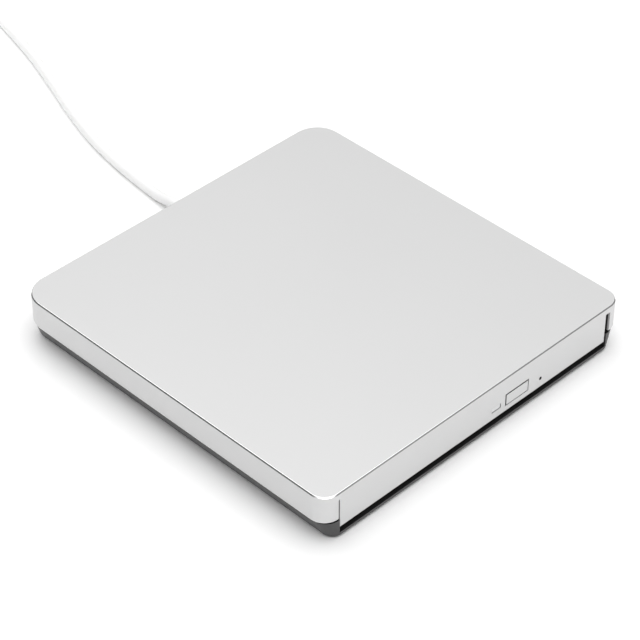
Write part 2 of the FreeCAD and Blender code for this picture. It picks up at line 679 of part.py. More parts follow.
def turntable():
    """Rotor cup, shaft, turntable and hub, all turning together."""
    shaft = disc(SHAFT_R, 6.3, 10.6)
    cup = disc(10.4, 6.7, 11.0).cut(disc(9.6, 6.0, 10.4))
    outer, inner = RING_R[1] + 0.1, RING_R[0] - 0.1
    plate = disc(outer + 0.2, 11.0, SEAT_Z).cut(disc(outer, RING_Z[0], 20).cut(disc(inner, 0, 30)))
    hub = disc(HUB_R, SEAT_Z - 0.1, HUB_TOP)
    hub = hub.makeChamfer(0.45, edges_at(hub, HUB_TOP))
    whole = join([shaft, cup, plate, hub])
    cuts = [disc(3.2, HUB_TOP - 0.7, 20)]
    for k in range(3):
        pocket = box(5.4, 9.0, -1.0, 1.0, 12.9, 20)
        pocket.rotate(V(0, 0, 0), UP, 120.0 * k)
        cuts.append(pocket)
    return on_traverse(whole.cut(Part.makeCompound(cuts)))


def turntable_ring():
    return on_traverse(disc(RING_R[1], *RING_Z).cut(disc(RING_R[0], 0, 20)))


def chuck_balls():
    balls = []
    for k in range(3):
        ball = Part.makeSphere(0.85, V(6.5, 0, 13.75))
        ball.rotate(V(0, 0, 0), UP, 120.0 * k)
        balls.append(on_traverse(ball))
    return balls


def pickup_body():
    """Sled with its bearings on the two rods, the nut pad beside the lead screw, and the lens pocket."""
    u = LENS_U
    block = box(u - 8, u + 8, -12.7, 12.7, 5.9, 10.3)
    block = block.makeChamfer(2.0, edges_along(block, UP))
    bearings = [box(u - 4, u + 4, 12.0, 16.6, 6.0, 9.4), box(u - 3, u + 3, -16.6, -12.0, 6.0, 9.4)]
    nut = box(u - 3, u + 2.2, 16.5, SCREW_V - SCREW_R - 0.1, 6.7, 8.5)
    cuts = rod_pair(ROD_R + RUN_CLEARANCE, (0, 70))
    cuts.append(box(u - 6, u + 6, -8.5, 8.5, 7.6, 20))
    return on_traverse(join([block, nut] + bearings).cut(Part.makeCompound(cuts)))


def pickup_cover():
    u = LENS_U
    plate = box(u - 7, u + 7, -11.0, 11.0, 10.3, 10.6)
    return on_traverse(plate.cut(box(u - 4.6, u + 4.6, -6.4, 6.4, 0, 20)))


def lens_holder():
    u = LENS_U
    body = box(u - 3.2, u + 3.2, -5.2, 5.2, 8.4, 10.5)
    collar = disc(2.9, 10.4, 10.9, u, 0)
    magnet_slots = [box(u - 1.2, u + 1.2, v, v + 1.6, 0, 20) for v in (-5.0, 3.4)]
    lens_seat = disc(2.35, 10.0, 20, u, 0)
    return on_traverse(join([body, collar]).cut(Part.makeCompound([lens_seat] + magnet_slots)))


def objective_lens():
    dome = Part.makeSphere(3.2, V(LENS_U, 0, 8.1)).common(disc(2.3, 10.0, 12, LENS_U, 0))
    return on_traverse(dome)


def lead_screw():
    core = rod(SCREW_R, (-3.0, SCREW_V, ROD_Z), (58.4, SCREW_V, ROD_Z))
    ends = rod(SCREW_END_R, (-8.0, SCREW_V, ROD_Z), (59.8, SCREW_V, ROD_Z))
    return on_traverse(join([core, ends]))


def stepper_motor():
    can = rod(2.5, (-16.0, SCREW_V, ROD_Z), (-4.0, SCREW_V, ROD_Z))
    terminals = box(-12, -8, SCREW_V - 3.4, SCREW_V - 2.0, ROD_Z - 1.2, ROD_Z + 1.2)
    bore = rod(SCREW_END_R + RUN_CLEARANCE, (-8.1, SCREW_V, ROD_Z), (0, SCREW_V, ROD_Z))
    return on_traverse(join([can, terminals]).cut(bore))


def screw_bracket():
    z = CHASSIS_Z[1]
    strip = box(-3.9, 60.0, 17.7, 20.6, z, z + 0.4)
    plates = [box(-3.9, -3.3, 17.2, 21.0, z, 10.0), box(58.6, 60.0, 17.2, 20.8, z, 9.4)]
    bore = rod(SCREW_END_R + RUN_CLEARANCE, (-9, SCREW_V, ROD_Z), (70, SCREW_V, ROD_Z))
    return on_traverse(join([strip] + plates).cut(bore))


# Cord


def tangent_route(points, factor=0.45):
    """Straight runs joined by tangent arcs; each arc is as large as its two runs allow."""
    points = [V(*p) for p in points]
    edges, radii = [], []
    last = points[0]
    for before, corner, after in zip(points, points[1:], points[2:]):
        back, ahead = before - corner, after - corner
        turn = math.pi - back.getAngle(ahead)
        cut = factor * min(back.Length, ahead.Length)
        radii.append(cut / math.tan(turn / 2))
        start = corner + back.normalize() * cut
        end = corner + ahead.normalize() * cut
        middle_dir = (start + end) * 0.5 - corner
        sag = radii[-1] * (1 / math.cos(turn / 2) - 1)
        middle = corner + middle_dir.normalize() * sag
        edges.append(Part.LineSegment(last, start).toShape())
        edges.append(Part.Arc(start, middle, end).toShape())
        last = end
    edges.append(Part.LineSegment(last, points[-1]).toShape())
    return Part.Wire(edges), radii


def pipe(spine, r):
    edge = spine.Edges[0]
    start = edge.valueAt(edge.FirstParameter)
    along = edge.tangentAt(edge.FirstParameter)
    section = Part.Wire(Part.makeCircle(r, start, along))
    return spine.makePipeShell([section], True, False)


def tube(points, r, factor=0.45):
    spine, radii = tangent_route(points, factor)
    return pipe(spine, r), spine, radii


def arc_between(start, corner, end):
    """The arc that leaves start and reaches end, tangent to both lines through corner."""
    turn = math.pi - (start - corner).getAngle(end - corner)
    reach = (start - corner).Length
    sag = reach / math.tan(turn / 2) * (1 / math.cos(turn / 2) - 1)
    middle = corner + ((start + end) * 0.5 - corner).normalize() * sag
    return Part.Arc(start, middle, end).toShape()


def biarc_wire(stations):
    """Two tangent arcs between each two stations, each a point and a direction."""
    edges = []
    for (p0, t0), (p1, t1) in zip(stations, stations[1:]):
        gap, both = p1 - p0, t0 + t1
        a = 2 * (1 - t0.dot(t1))
        b = gap.dot(both)
        reach = (-b + math.sqrt(b * b + a * gap.dot(gap))) / a
        q0, q1 = p0 + t0 * reach, p1 - t1 * reach
        joint = (q0 + q1) * 0.5
        edges += [arc_between(p0, q0, joint), arc_between(joint, q1, p1)]
    return Part.Wire(edges)


def lead_end():
    a = math.radians(-COIL_START)
    return V(*LEAD[-1]) + V(math.sin(a), math.cos(a), 0) * COIL_LAST_RUN


def coil_centre():
    a = math.radians(COIL_START)
    return lead_end() - V(math.cos(a), math.sin(a), 0) * COIL_R


def coil_place(turns):
    """Where the coil's centreline is after so many turns: in, up a layer where it reverses, and out."""
    half = COIL_TURNS / 2
    radius = COIL_R - COIL_STEP * (half - abs(turns - half))
    climb = min(max(turns - (half - 0.25), 0.0), 0.5) / 0.5
    z = CORD_R + COIL_STEP * (1 - math.cos(math.pi * climb)) / 2
    a = math.radians(COIL_START + 360.0 * turns)
    centre = coil_centre()
    return V(centre.x + radius * math.cos(a), centre.y + radius * math.sin(a), z)


def coil_stations():
    count = int(COIL_TURNS * 4)
    small = 1e-4
    stations = []
    for k in range(count + 1):
        t = k / 4
        ahead = coil_place(min(t + small, COIL_TURNS)) - coil_place(max(t - small, 0.0))
        stations.append((coil_place(t), ahead.normalize()))
    first = (coil_place(0) - V(*LEAD[-1])).normalize()
    stations[0] = (stations[0][0], first)
    return stations


def tail_points():
    place, along = coil_stations()[-1]
    points = [place]
    angle = math.atan2(along.y, along.x)
    for z in (place.z, PLUG_Z, PLUG_Z):
        points.append(points[-1] + V(math.cos(angle), math.sin(angle), 0) * TAIL_RUN)
        points[-1].z = z
        angle += math.radians(TAIL_TURN)
    return [(p.x, p.y, p.z) for p in points]


def cord_strain_relief():
    flange = box(EXIT_X - 4.5, EXIT_X + 4.5, RELIEF_Y, RELIEF_Y + 1.2, 2.35, 7.3)
    neck = rod(RELIEF_R, (EXIT_X, RELIEF_Y + 1.1, EXIT_Z), (EXIT_X, 72.6, EXIT_Z))
    sleeve = Part.makeCone(RELIEF_R, 2.4, RELIEF_END - 72.5, V(EXIT_X, 72.5, EXIT_Z), V(0, 1, 0))
    grooves = []
    for k in range(4):
        y = 74.0 + 1.9 * k
        keep = 2.5 - 0.1 * k
        grooves.append(rod(5, (EXIT_X, y, EXIT_Z), (EXIT_X, y + 0.8, EXIT_Z)).cut(
            rod(keep, (EXIT_X, y, EXIT_Z), (EXIT_X, y + 0.8, EXIT_Z))))
    return join([flange, neck, sleeve]).cut(Part.makeCompound(grooves))


def plug_frame():
    """Where the plug starts and which way it points."""
    (x0, y0, _), (x1, y1, z1) = tail_points()[-2:]
    return V(x1, y1, z1), math.degrees(math.atan2(y1 - y0, x1 - x0))


def on_plug(shape):
    place, angle = plug_frame()
    turned = shape.copy()
    turned.rotate(V(0, 0, 0), UP, angle)
    turned.translate(place)
    return turned


PLUG_W, PLUG_H, PLUG_L, NECK_L = 15.6, 7.8, 25.0, 8.0
SHELL_W, SHELL_H, SHELL_L, SHELL_T = 12.0, 4.5, 14.0, 0.3


def cord_plug_body():
    neck = Part.makeCone(2.4, 3.3, NECK_L, V(0, 0, 0), V(1, 0, 0))
    body = box(NECK_L - 0.2, NECK_L + PLUG_L, -PLUG_W / 2, PLUG_W / 2, -PLUG_H / 2, PLUG_H / 2)
    body = body.makeFillet(2.2, edges_along(body, V(1, 0, 0)))
    ends = [e for e in body.Edges if all(abs(p.Point.x - NECK_L + 0.2) < 1e-6 for p in e.Vertexes)]
    body = body.makeFillet(0.8, ends)
    x = NECK_L + PLUG_L
    seat = box(x - 6, x + 1, -SHELL_W / 2, SHELL_W / 2, -SHELL_H / 2, SHELL_H / 2)
    return on_plug(join([neck, body]).cut(seat))


def cord_plug_shell():
    x = NECK_L + PLUG_L
    shell = box(x - 6, x + SHELL_L, -SHELL_W / 2, SHELL_W / 2, -SHELL_H / 2, SHELL_H / 2)
    shell = shell.makeFillet(0.5, edges_along(shell, V(1, 0, 0)))
    inside = box(x - 5.5, x + SHELL_L + 1, -SHELL_W / 2 + SHELL_T, SHELL_W / 2 - SHELL_T,
                 -SHELL_H / 2 + SHELL_T, SHELL_H / 2 - SHELL_T)
    windows = [box(x + 5.5, x + 8.0, y - 1.2, y + 1.2, -9, 9) for y in (-2.9, 2.9)]
    return on_plug(shell.cut(Part.makeCompound([inside] + windows)))


def cord_plug_tongue():
    x = NECK_L + PLUG_L
    low = -SHELL_H / 2 + SHELL_T
    return on_plug(box(x - 5.4, x + SHELL_L - 1.0, -5.6, 5.6, low, low + 1.9))


def cord_plug_contacts():
    x = NECK_L + PLUG_L
    z = -SHELL_H / 2 + SHELL_T + 1.9
    strips = []
    for y, inset in ((-3.5, 1.6), (-1.0, 2.6), (1.0, 2.6), (3.5, 1.6)):
        strips.append(on_plug(box(x - 5.0, x + SHELL_L - inset, y - 0.5, y + 0.5, z, z + 0.15)))
    return strips


def least_gap(places, r, apart):
    """Least gap between the surfaces of a tube and itself, for points at least so far apart along it."""
    travelled = [0.0]
    for a, b in zip(places, places[1:]):
        travelled.append(travelled[-1] + (b - a).Length)
    gaps = [
        (a - b).Length - 2 * r
        for i, a in enumerate(places)
        for j, b in enumerate(places[:i])
        if travelled[i] - travelled[j] > apart
    ]
    return min(gaps)


def report_tube(name, solid, spine, radii):
    section = math.pi * CORD_R**2
    share = solid.Volume / (section * spine.Length)
    bends = f"radii {min(radii):.1f} to {max(radii):.1f} mm"
    print(f"{name}: length {spine.Length:.1f} mm, {bends}, volume {share:.4f} of section times length")


def save(name, shape):
    if isinstance(shape, list):
        shape = Part.makeCompound(shape) if len(shape) > 1 else shape[0]
    shape.exportStep(f"parts/{name}.step")
    solids = shape.Solids
    if not solids or not shape.isValid():
        print(f"{name}: {len(solids)} solids, valid {shape.isValid()}")


PARTS = [
    top_cover, base_case, rubber_feet, case_screws, foam_pads,
    bridge_board, board_screws, bridge_plug, bridge_chip, board_components, cable_wires,
    drive_pan, drive_lid, lid_screws, right_guide, latch_post, drive_board, drive_chips, drive_socket,
    flex_cable, tray, tray_bezel, eject_button, led_light_pipe, tray_bottom_cover, front_board,
    tact_switch, led_chip, latch_solenoid, latch_lever, eject_spring, eject_plunger, right_rail,
    traverse_chassis, guide_rods, damper_bushings, traverse_screws, traverse_cover, spindle_base,
    stator_core, turntable, turntable_ring, chuck_balls, pickup_body, pickup_cover, lens_holder,
    objective_lens, lead_screw, stepper_motor, screw_bracket,
    cord_strain_relief, cord_plug_body, cord_plug_shell, cord_plug_tongue, cord_plug_contacts,
]


def main():
    os.makedirs("parts", exist_ok=True)
    for make in PARTS:
        save(make.__name__, make())
    for name, shape in (("left_guide", right_guide()), ("left_rail", right_rail())):
        save(name, both_sides(shape)[1])

    lead_route = LEAD + [tuple(lead_end())]
    for name, points in (("cord_lead", lead_route), ("cord_tail", tail_points())):
        solid, spine, radii = tube(points, CORD_R)
        report_tube(name, solid, spine, radii)
        save(name, solid)
    spine = biarc_wire(coil_stations())
    coil = pipe(spine, CORD_R)
    report_tube("cord_coil", coil, spine, [e.Curve.Radius for e in spine.Edges])
    places = [p for e in spine.Edges for p in e.discretize(Number=16)]
    print(f"cord_coil: least gap to itself {least_gap(places, CORD_R, 6 * CORD_R):.2f} mm")
    save("cord_coil", coil)


main()
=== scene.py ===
"""A slim external disc drive: the finish of every piece, and the shells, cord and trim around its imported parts.

Sizes in the classes are millimetres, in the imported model's own frame: +X to the right seen from the front, +Y
towards the back, +Z up, with the origin on the surface that the case stands on. A piece becomes metres when it
is finished.
"""

from __future__ import annotations

import json
import logging
import math
from collections.abc import Callable, Iterable
from dataclasses import dataclass, field
from enum import Enum

import bmesh
import bpy
from mathutils import Matrix, Vector

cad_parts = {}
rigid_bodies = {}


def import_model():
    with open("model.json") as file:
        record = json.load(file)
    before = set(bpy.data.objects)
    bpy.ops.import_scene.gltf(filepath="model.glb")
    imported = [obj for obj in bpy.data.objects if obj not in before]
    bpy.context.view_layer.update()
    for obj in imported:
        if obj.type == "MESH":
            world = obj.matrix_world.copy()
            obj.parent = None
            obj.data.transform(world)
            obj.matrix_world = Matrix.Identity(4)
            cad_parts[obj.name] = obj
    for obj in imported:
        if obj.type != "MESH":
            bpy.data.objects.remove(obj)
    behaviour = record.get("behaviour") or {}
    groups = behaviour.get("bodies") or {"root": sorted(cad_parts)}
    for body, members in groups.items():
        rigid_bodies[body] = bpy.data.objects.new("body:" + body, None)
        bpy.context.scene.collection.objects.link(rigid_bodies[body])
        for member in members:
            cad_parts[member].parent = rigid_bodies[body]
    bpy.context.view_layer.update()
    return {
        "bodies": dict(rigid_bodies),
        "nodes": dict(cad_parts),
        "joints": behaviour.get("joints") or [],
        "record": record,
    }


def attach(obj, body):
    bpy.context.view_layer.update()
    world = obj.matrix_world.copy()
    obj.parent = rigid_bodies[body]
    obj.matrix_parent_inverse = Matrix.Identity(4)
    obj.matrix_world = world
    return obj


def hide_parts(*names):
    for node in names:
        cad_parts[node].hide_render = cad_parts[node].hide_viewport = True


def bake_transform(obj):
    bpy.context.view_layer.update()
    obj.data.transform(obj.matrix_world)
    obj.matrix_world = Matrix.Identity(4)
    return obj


LOG = logging.getLogger("disc_drive")
MM = 0.001
Colour = tuple[float, float, float]
Point = tuple[float, float, float]
Window = tuple[float, float, float, float]
Edges = list[bmesh.types.BMEdge]
Faces = list[bmesh.types.BMFace]


class Body(Enum):
    """The moving groups that a piece can ride on."""

    CASE = "root"
    TRAY = "tray_unit"
    LEFT_RAIL = "left_slide_rail"
    RIGHT_RAIL = "right_slide_rail"
    BUTTON = "button"
    ROTOR = "rotor"
    PICKUP = "pickup"
    LENS = "lens_carrier"
    LATCH = "latch"


class Grain(Enum):
    """The axis that rolling lines or tracks run along."""

    X = 0
    Y = 1
    Z = 2


# Shader expressions


class Signal:
    """One value in a material's nodes. Arithmetic on it adds the Math nodes that it needs."""

    def __init__(self, shader: Shader, socket: bpy.types.NodeSocket) -> None:
        """Wraps one output socket of a shader's node."""
        self.shader = shader
        self.socket = socket

    def _math(self, operation: str, first: Signal | float, second: Signal | float) -> Signal:
        """Adds one Math node."""
        return self.shader.node("ShaderNodeMath", {"operation": operation}, {0: first, 1: second})

    def __add__(self, other: Signal | float) -> Signal:
        """Sum."""
        return self._math("ADD", self, other)

    def __radd__(self, other: float) -> Signal:
        """Sum, with the number first."""
        return self._math("ADD", other, self)

    def __sub__(self, other: Signal | float) -> Signal:
        """Difference."""
        return self._math("SUBTRACT", self, other)

    def __rsub__(self, other: float) -> Signal:
        """Difference, with the number first."""
        return self._math("SUBTRACT", other, self)

    def __mul__(self, other: Signal | float) -> Signal:
        """Product."""
        return self._math("MULTIPLY", self, other)

    def __rmul__(self, other: float) -> Signal:
        """Product, with the number first."""
        return self._math("MULTIPLY", other, self)

    def __truediv__(self, other: Signal | float) -> Signal:
        """Quotient."""
        return self._math("DIVIDE", self, other)

    def above(self, level: float) -> Signal:
        """1 where the value is over a level, and 0 elsewhere."""
        return self._math("GREATER_THAN", self, level)

    def wrapped(self) -> Signal:
        """The value's fraction, which repeats from 0 to 1."""
        return self._math("FRACT", self, 0.0)

    def floored(self) -> Signal:
        """The value, or 0 where it is negative."""
        return self._math("MAXIMUM", self, 0.0)

    def size(self) -> Signal:
        """The value without its sign."""
        return self._math("ABSOLUTE", self, 0.0)

    def eased(self, low: float, high: float) -> Signal:
        """A smooth step from 0 at low to 1 at high.

        Args:
            low: the value that gives 0.
            high: the value that gives 1.

        Returns:
            The eased value.
        """
        limits = {"Value": self, "From Min": low, "From Max": high}
        return self.shader.node("ShaderNodeMapRange", {"interpolation_type": "SMOOTHSTEP"}, limits)


class Shader:
    """The nodes of a material or a world under construction."""

    def __init__(self, owner: bpy.types.Material | bpy.types.World) -> None:
        """Starts with an empty tree.

        Args:
            owner: the material or world that the nodes are for.
        """
        owner.use_nodes = True
        self.owner = owner
        self.tree = owner.node_tree
        self.tree.nodes.clear()

    def node(
        self,
        kind: str,
        settings: dict[str, object] | None = None,
        inputs: dict[str | int, object] | None = None,
        output: str | int = 0,
    ) -> Signal:
        """Adds a node.

        Args:
            kind: the node's type.
            settings: its options, set first. A colour ramp's stops are given as (place, grey level) pairs.
            inputs: values or signals, by the socket's name or number.
            output: the output socket to hand back.

        Returns:
            The chosen output.
        """
        made = self.tree.nodes.new(kind)
        for name, value in (settings or {}).items():
            if name == "stops":
                stops = made.color_ramp.elements
                while len(stops) < len(value):
                    stops.new(1.0)
                for stop, (place, level) in zip(stops, value):
                    stop.position = place
                    stop.color = (level, level, level, 1.0)
            else:
                setattr(made, name, value)
        for key, value in (inputs or {}).items():
            if isinstance(value, Signal):
                self.tree.links.new(value.socket, made.inputs[key])
            else:
                made.inputs[key].default_value = value
        return Signal(self, made.outputs[output])

    def place(self, stretch: Point = (1.0, 1.0, 1.0)) -> Signal:
        """Millimetres across the piece.

        Args:
            stretch: how much faster each axis counts than a millimetre.

        Returns:
            The point as a vector.
        """
        point = self.node("ShaderNodeTexCoord", output="Object")
        scale = tuple(axis / MM for axis in stretch)
        return self.node("ShaderNodeMapping", None, {"Vector": point, "Scale": scale})

    def along(self, grain: Grain) -> Signal:
        """Millimetres along one axis of the piece."""
        return self.node("ShaderNodeSeparateXYZ", None, {"Vector": self.place()}, grain.value)

    def noise(self, size: float, detail: float = 2.0, stretch: Point = (1.0, 1.0, 1.0)) -> Signal:
        """Cloudy noise from 0 to 1.

        Args:
            size: the width of one cloud, in millimetres.
            detail: how many finer layers it has.
            stretch: how much faster each axis counts.

        Returns:
            The noise.
        """
        values = {"Vector": self.place(stretch), "Scale": 1.0 / size, "Detail": detail}
        return self.node("ShaderNodeTexNoise", None, values)

    def lines(self, grain: Grain, size: float, detail: float, pull: float) -> Signal:
        """Noise from 0 to 1 that is drawn out into lines.

        Args:
            grain: the axis that the lines run along.
            size: the width of one line, in millimetres.
            detail: how many finer layers it has.
            pull: how fast that axis counts; the lines are longer where it is less.

        Returns:
            The noise.
        """
        return self.noise(size, detail, tuple(pull if axis == grain.value else 1.0 for axis in range(3)))

    def cells(self, size: float) -> Signal:
        """The distance to the nearest of scattered points, in cells of that size in millimetres."""
        return self.node("ShaderNodeTexVoronoi", None, {"Vector": self.place(), "Scale": 1.0 / size})

    def mixed(self, share: Signal, first: Colour, second: Colour) -> Signal:
        """One colour where share is 0 and another where it is 1."""
        values = {0: share, 6: (*first, 1.0), 7: (*second, 1.0)}
        return self.node("ShaderNodeMix", {"data_type": "RGBA"}, values, 2)

    def raised(self, height: Signal, depth: float) -> Signal:
        """The normal of a fine relief, whose height goes from 0 to 1 and whose depth is in millimetres."""
        return self.node("ShaderNodeBump", None, {"Height": height, "Distance": depth * MM, "Strength": 1.0})

    def close(self, shaded: Signal) -> None:
        """Adds the output.

        Args:
            shaded: the surface or background that it gets.
        """
        kind = "ShaderNodeOutputWorld" if isinstance(self.owner, bpy.types.World) else "ShaderNodeOutputMaterial"
        end = self.tree.nodes.new(kind)
        self.tree.links.new(shaded.socket, end.inputs["Surface"])


# Finishes


def lighter(colour: Colour, factor: float) -> Colour:
    """The colour times a factor, kept under white."""
    return tuple(min(channel * factor, 1.0) for channel in colour)


@dataclass(frozen=True)
class Finish:
    """What a piece is made of and how its surface was left."""

    name: str
    slot: str
    colour: Colour
    roughness: float = 0.5
    drift: float = 0.03

    def material(self) -> bpy.types.Material:
        """Makes the material the first time that it is asked for.

        Returns:
            The finish's material.
        """
        made = bpy.data.materials.get(self.name)
        if made is None:
            made = bpy.data.materials.new(self.name)
            shader = Shader(made)
            shader.close(shader.node("ShaderNodeBsdfPrincipled", None, self.surface(shader)))
        return made

    def tinted(self, shader: Shader, size: float) -> Signal:
        """The base colour, with a slow drift of tone over that many millimetres."""
        light, dark = lighter(self.colour, 1.0 + self.drift), lighter(self.colour, 1.0 - self.drift)
        return shader.mixed(shader.noise(size), dark, light)

    def gloss(self, texture: Signal, swing: float) -> Signal:
        """The roughness, moved up and down by a texture from 0 to 1."""
        return self.roughness + swing * (texture - 0.5)

    def surface(self, shader: Shader) -> dict[str, object]:
        """The surface's inputs by socket, each with a value or a signal from that shader."""
        raise NotImplementedError


@dataclass(frozen=True)
class BlastedMetal(Finish):
    """Aluminium blasted to a fine satin, then coated clear."""

    metallic: float = 0.5
    grain: float = 0.16
    depth: float = 0.006

    def surface(self, shader: Shader) -> dict[str, object]:
        """Fine grains in the relief and the gloss, over a slow drift of tone.

        Args:
            shader: the material being made.

        Returns:
            The surface's inputs, by socket.
        """
        grains = shader.noise(self.grain, 3.0)
        return {
            "Base Color": self.tinted(shader, 55.0),
            "Metallic": self.metallic,
            "Roughness": self.gloss(grains, 0.10),
            "Normal": shader.raised(grains, self.depth),
        }


@dataclass(frozen=True)
class PolishedMetal(Finish):
    """Metal cut or ground bright, with the tool's fine lines along one axis."""

    grain: Grain = Grain.X
    line: float = 0.08

    def surface(self, shader: Shader) -> dict[str, object]:
        """Fine lines across the gloss.

        Args:
            shader: the material being made.

        Returns:
            The surface's inputs, by socket.
        """
        lines = shader.lines(self.grain, self.line, 2.0, 0.04)
        return {
            "Base Color": self.tinted(shader, 12.0),
            "Metallic": 1.0,
            "Roughness": self.gloss(lines, 0.08),
            "Normal": shader.raised(lines, 0.0015),
        }


@dataclass(frozen=True)
class Moulded(Finish):
    """Moulded plastic or epoxy with a sparked grain."""

    grain: float = 0.3
    depth: float = 0.012
    clouds: float = 18.0
    ior: float = 1.5

    def surface(self, shader: Shader) -> dict[str, object]:
        """A sparked grain in the relief and the gloss.

        Args:
            shader: the material being made.

        Returns:
            The surface's inputs, by socket.
        """
        grains = shader.noise(self.grain, 3.0)
        return {
            "Base Color": self.tinted(shader, self.clouds),
            "Roughness": self.gloss(grains, 0.14),
            "Normal": shader.raised(grains, self.depth),
            "IOR": self.ior,
        }


@dataclass(frozen=True)
class RolledSheet(Finish):
    """Zinc-plated sheet steel: rolling lines one way and faint crystals."""

    grain: Grain = Grain.Y

    def surface(self, shader: Shader) -> dict[str, object]:
        """Rolling lines in the relief, and crystals in the tone and gloss.

        Args:
            shader: the material being made.

        Returns:
            The surface's inputs, by socket.
        """
        lines = shader.lines(self.grain, 0.25, 3.0, 0.03)
        crystals = shader.cells(3.2)
        light, dark = lighter(self.colour, 1.06), lighter(self.colour, 0.92)
        return {
            "Base Color": shader.mixed(crystals, dark, light),
            "Metallic": 1.0,
            "Roughness": self.gloss(lines, 0.12) + 0.06 * (crystals - 0.5),
            "Normal": shader.raised(lines, 0.004),
        }


@dataclass(frozen=True)
class Wound(Finish):
    """Enamelled copper wire, wound side by side."""

    wire: float = 0.14

    def surface(self, shader: Shader) -> dict[str, object]:
        """Round turns, painted darker in the joints between them: painted shade in the creases.

        Args:
            shader: the material being made.

        Returns:
            The surface's inputs, by socket.
        """
        turns = 1.0 - 2.0 * ((shader.along(Grain.Z) / self.wire).wrapped() - 0.5).size()
        joint = turns.eased(0.0, 0.45)
        return {
            # The joints get a darker copper colour: painted shade in the creases between turns.
            "Base Color": shader.mixed(joint, lighter(self.colour, 0.35), self.colour),
            "Metallic": 0.85,
            "Roughness": self.gloss(shader.noise(0.8), 0.1),
            "Normal": shader.raised(joint, 0.05),
        }


@dataclass(frozen=True)
class BoardMask(Finish):
    """Green solder mask over copper tracks."""

    def surface(self, shader: Shader) -> dict[str, object]:
        """Tracks as slightly lighter bands under the mask, and weave in the gloss.

        Args:
            shader: the material being made.

        Returns:
            The surface's inputs, by socket.
        """
        bands = ((shader.along(Grain.X) + 0.7 * shader.along(Grain.Y)) / 1.7).wrapped()
        broken = shader.noise(3.5, 0.0).above(0.5)
        tracks = bands.above(0.62) * broken
        return {
            "Base Color": shader.mixed(tracks, self.colour, lighter(self.colour, 1.9)),
            "Roughness": self.gloss(shader.noise(0.5), 0.12),
            "Normal": shader.raised(tracks.eased(0.0, 1.0), 0.02),
            "Coat Weight": 0.4,
        }


@dataclass(frozen=True)
class RibbonFilm(Finish):
    """Amber film with copper tracks that run its length."""

    pitch: float = 0.5

    def surface(self, shader: Shader) -> dict[str, object]:
        """Copper tracks under the film.

        Args:
            shader: the material being made.

        Returns:
            The surface's inputs, by socket.
        """
        track = ((shader.along(Grain.X) / self.pitch).wrapped() - 0.5).size().eased(0.2, 0.3)
        return {
            "Base Color": shader.mixed(track, self.colour, (0.30, 0.13, 0.03)),
            "Roughness": self.gloss(shader.noise(2.0), 0.1),
            "Normal": shader.raised(track, 0.01),
            "Coat Weight": 0.6,
        }


@dataclass(frozen=True)
class OpenFoam(Finish):
    """Open-celled foam."""

    cell: float = 0.9

    def surface(self, shader: Shader) -> dict[str, object]:
        """Cells painted darker towards their middle, between paler walls: painted shade in the hollows and painted
        light on the walls.

        Args:
            shader: the material being made.

        Returns:
            The surface's inputs, by socket.
        """
        walls = shader.cells(self.cell)
        return {
            # Darker in each cell's middle and lighter on its walls: painted shade in the hollows, painted light on the
            # walls.
            "Base Color": shader.mixed(walls, lighter(self.colour, 0.4), lighter(self.colour, 1.6)),
            "Roughness": self.gloss(walls, 0.05),
            "Normal": shader.raised(walls, 0.3),
        }


@dataclass(frozen=True)
class SoftVinyl(Finish):
    """The cord's extruded jacket: smooth, a little uneven, with a soft gloss."""

    def surface(self, shader: Shader) -> dict[str, object]:
        """A slow unevenness from the extruder.

        Args:
            shader: the material being made.

        Returns:
            The surface's inputs, by socket.
        """
        waves = shader.noise(1.6, 1.0)
        return {
            "Base Color": self.tinted(shader, 30.0),
            "Roughness": self.gloss(shader.noise(0.4), 0.12),
            "Normal": shader.raised(waves, 0.02),
            "Subsurface Weight": 0.12,
            "Subsurface Radius": (0.9 * MM, 0.9 * MM, 0.85 * MM),
            "Subsurface Scale": 1.0,
        }


@dataclass(frozen=True)
class ClearMoulding(Finish):
    """A clear part: frosted where it is rough, and a lens where it is smooth."""

    transmission: float = 0.6
    coat: float = 0.0

    def surface(self, shader: Shader) -> dict[str, object]:
        """Frosting in the gloss.

        Args:
            shader: the material being made.

        Returns:
            The surface's inputs, by socket.
        """
        frost = shader.noise(0.12, 2.0)
        return {
            "Base Color": self.tinted(shader, 3.0),
            "Roughness": self.gloss(frost, 0.2 * self.roughness),
            "Normal": shader.raised(frost, 0.004 * self.roughness),
            "Transmission Weight": self.transmission,
            "Coat Weight": self.coat,
            "IOR": 1.49,
        }


SILVER = BlastedMetal("satin_silver", "silver_shell", (0.664, 0.664, 0.664), 0.42, 0.012)
# The front panel and the button are a shade lighter than the shell: painted light, for the stronger light on the front.
LIT_SILVER_PANEL = BlastedMetal("satin_silver_panel_painted_light", "silver_bezel", (0.674, 0.674, 0.674), 0.44, 0.012)
CUT_EDGE = PolishedMetal("polished_cut_edge", "silver_shell", (0.88, 0.88, 0.885), 0.10, 0.01)
BLACK_SHELL = Moulded("black_base_plastic", "black_shell", (0.029, 0.029, 0.029), 0.40, 0.06, ior=1.62)
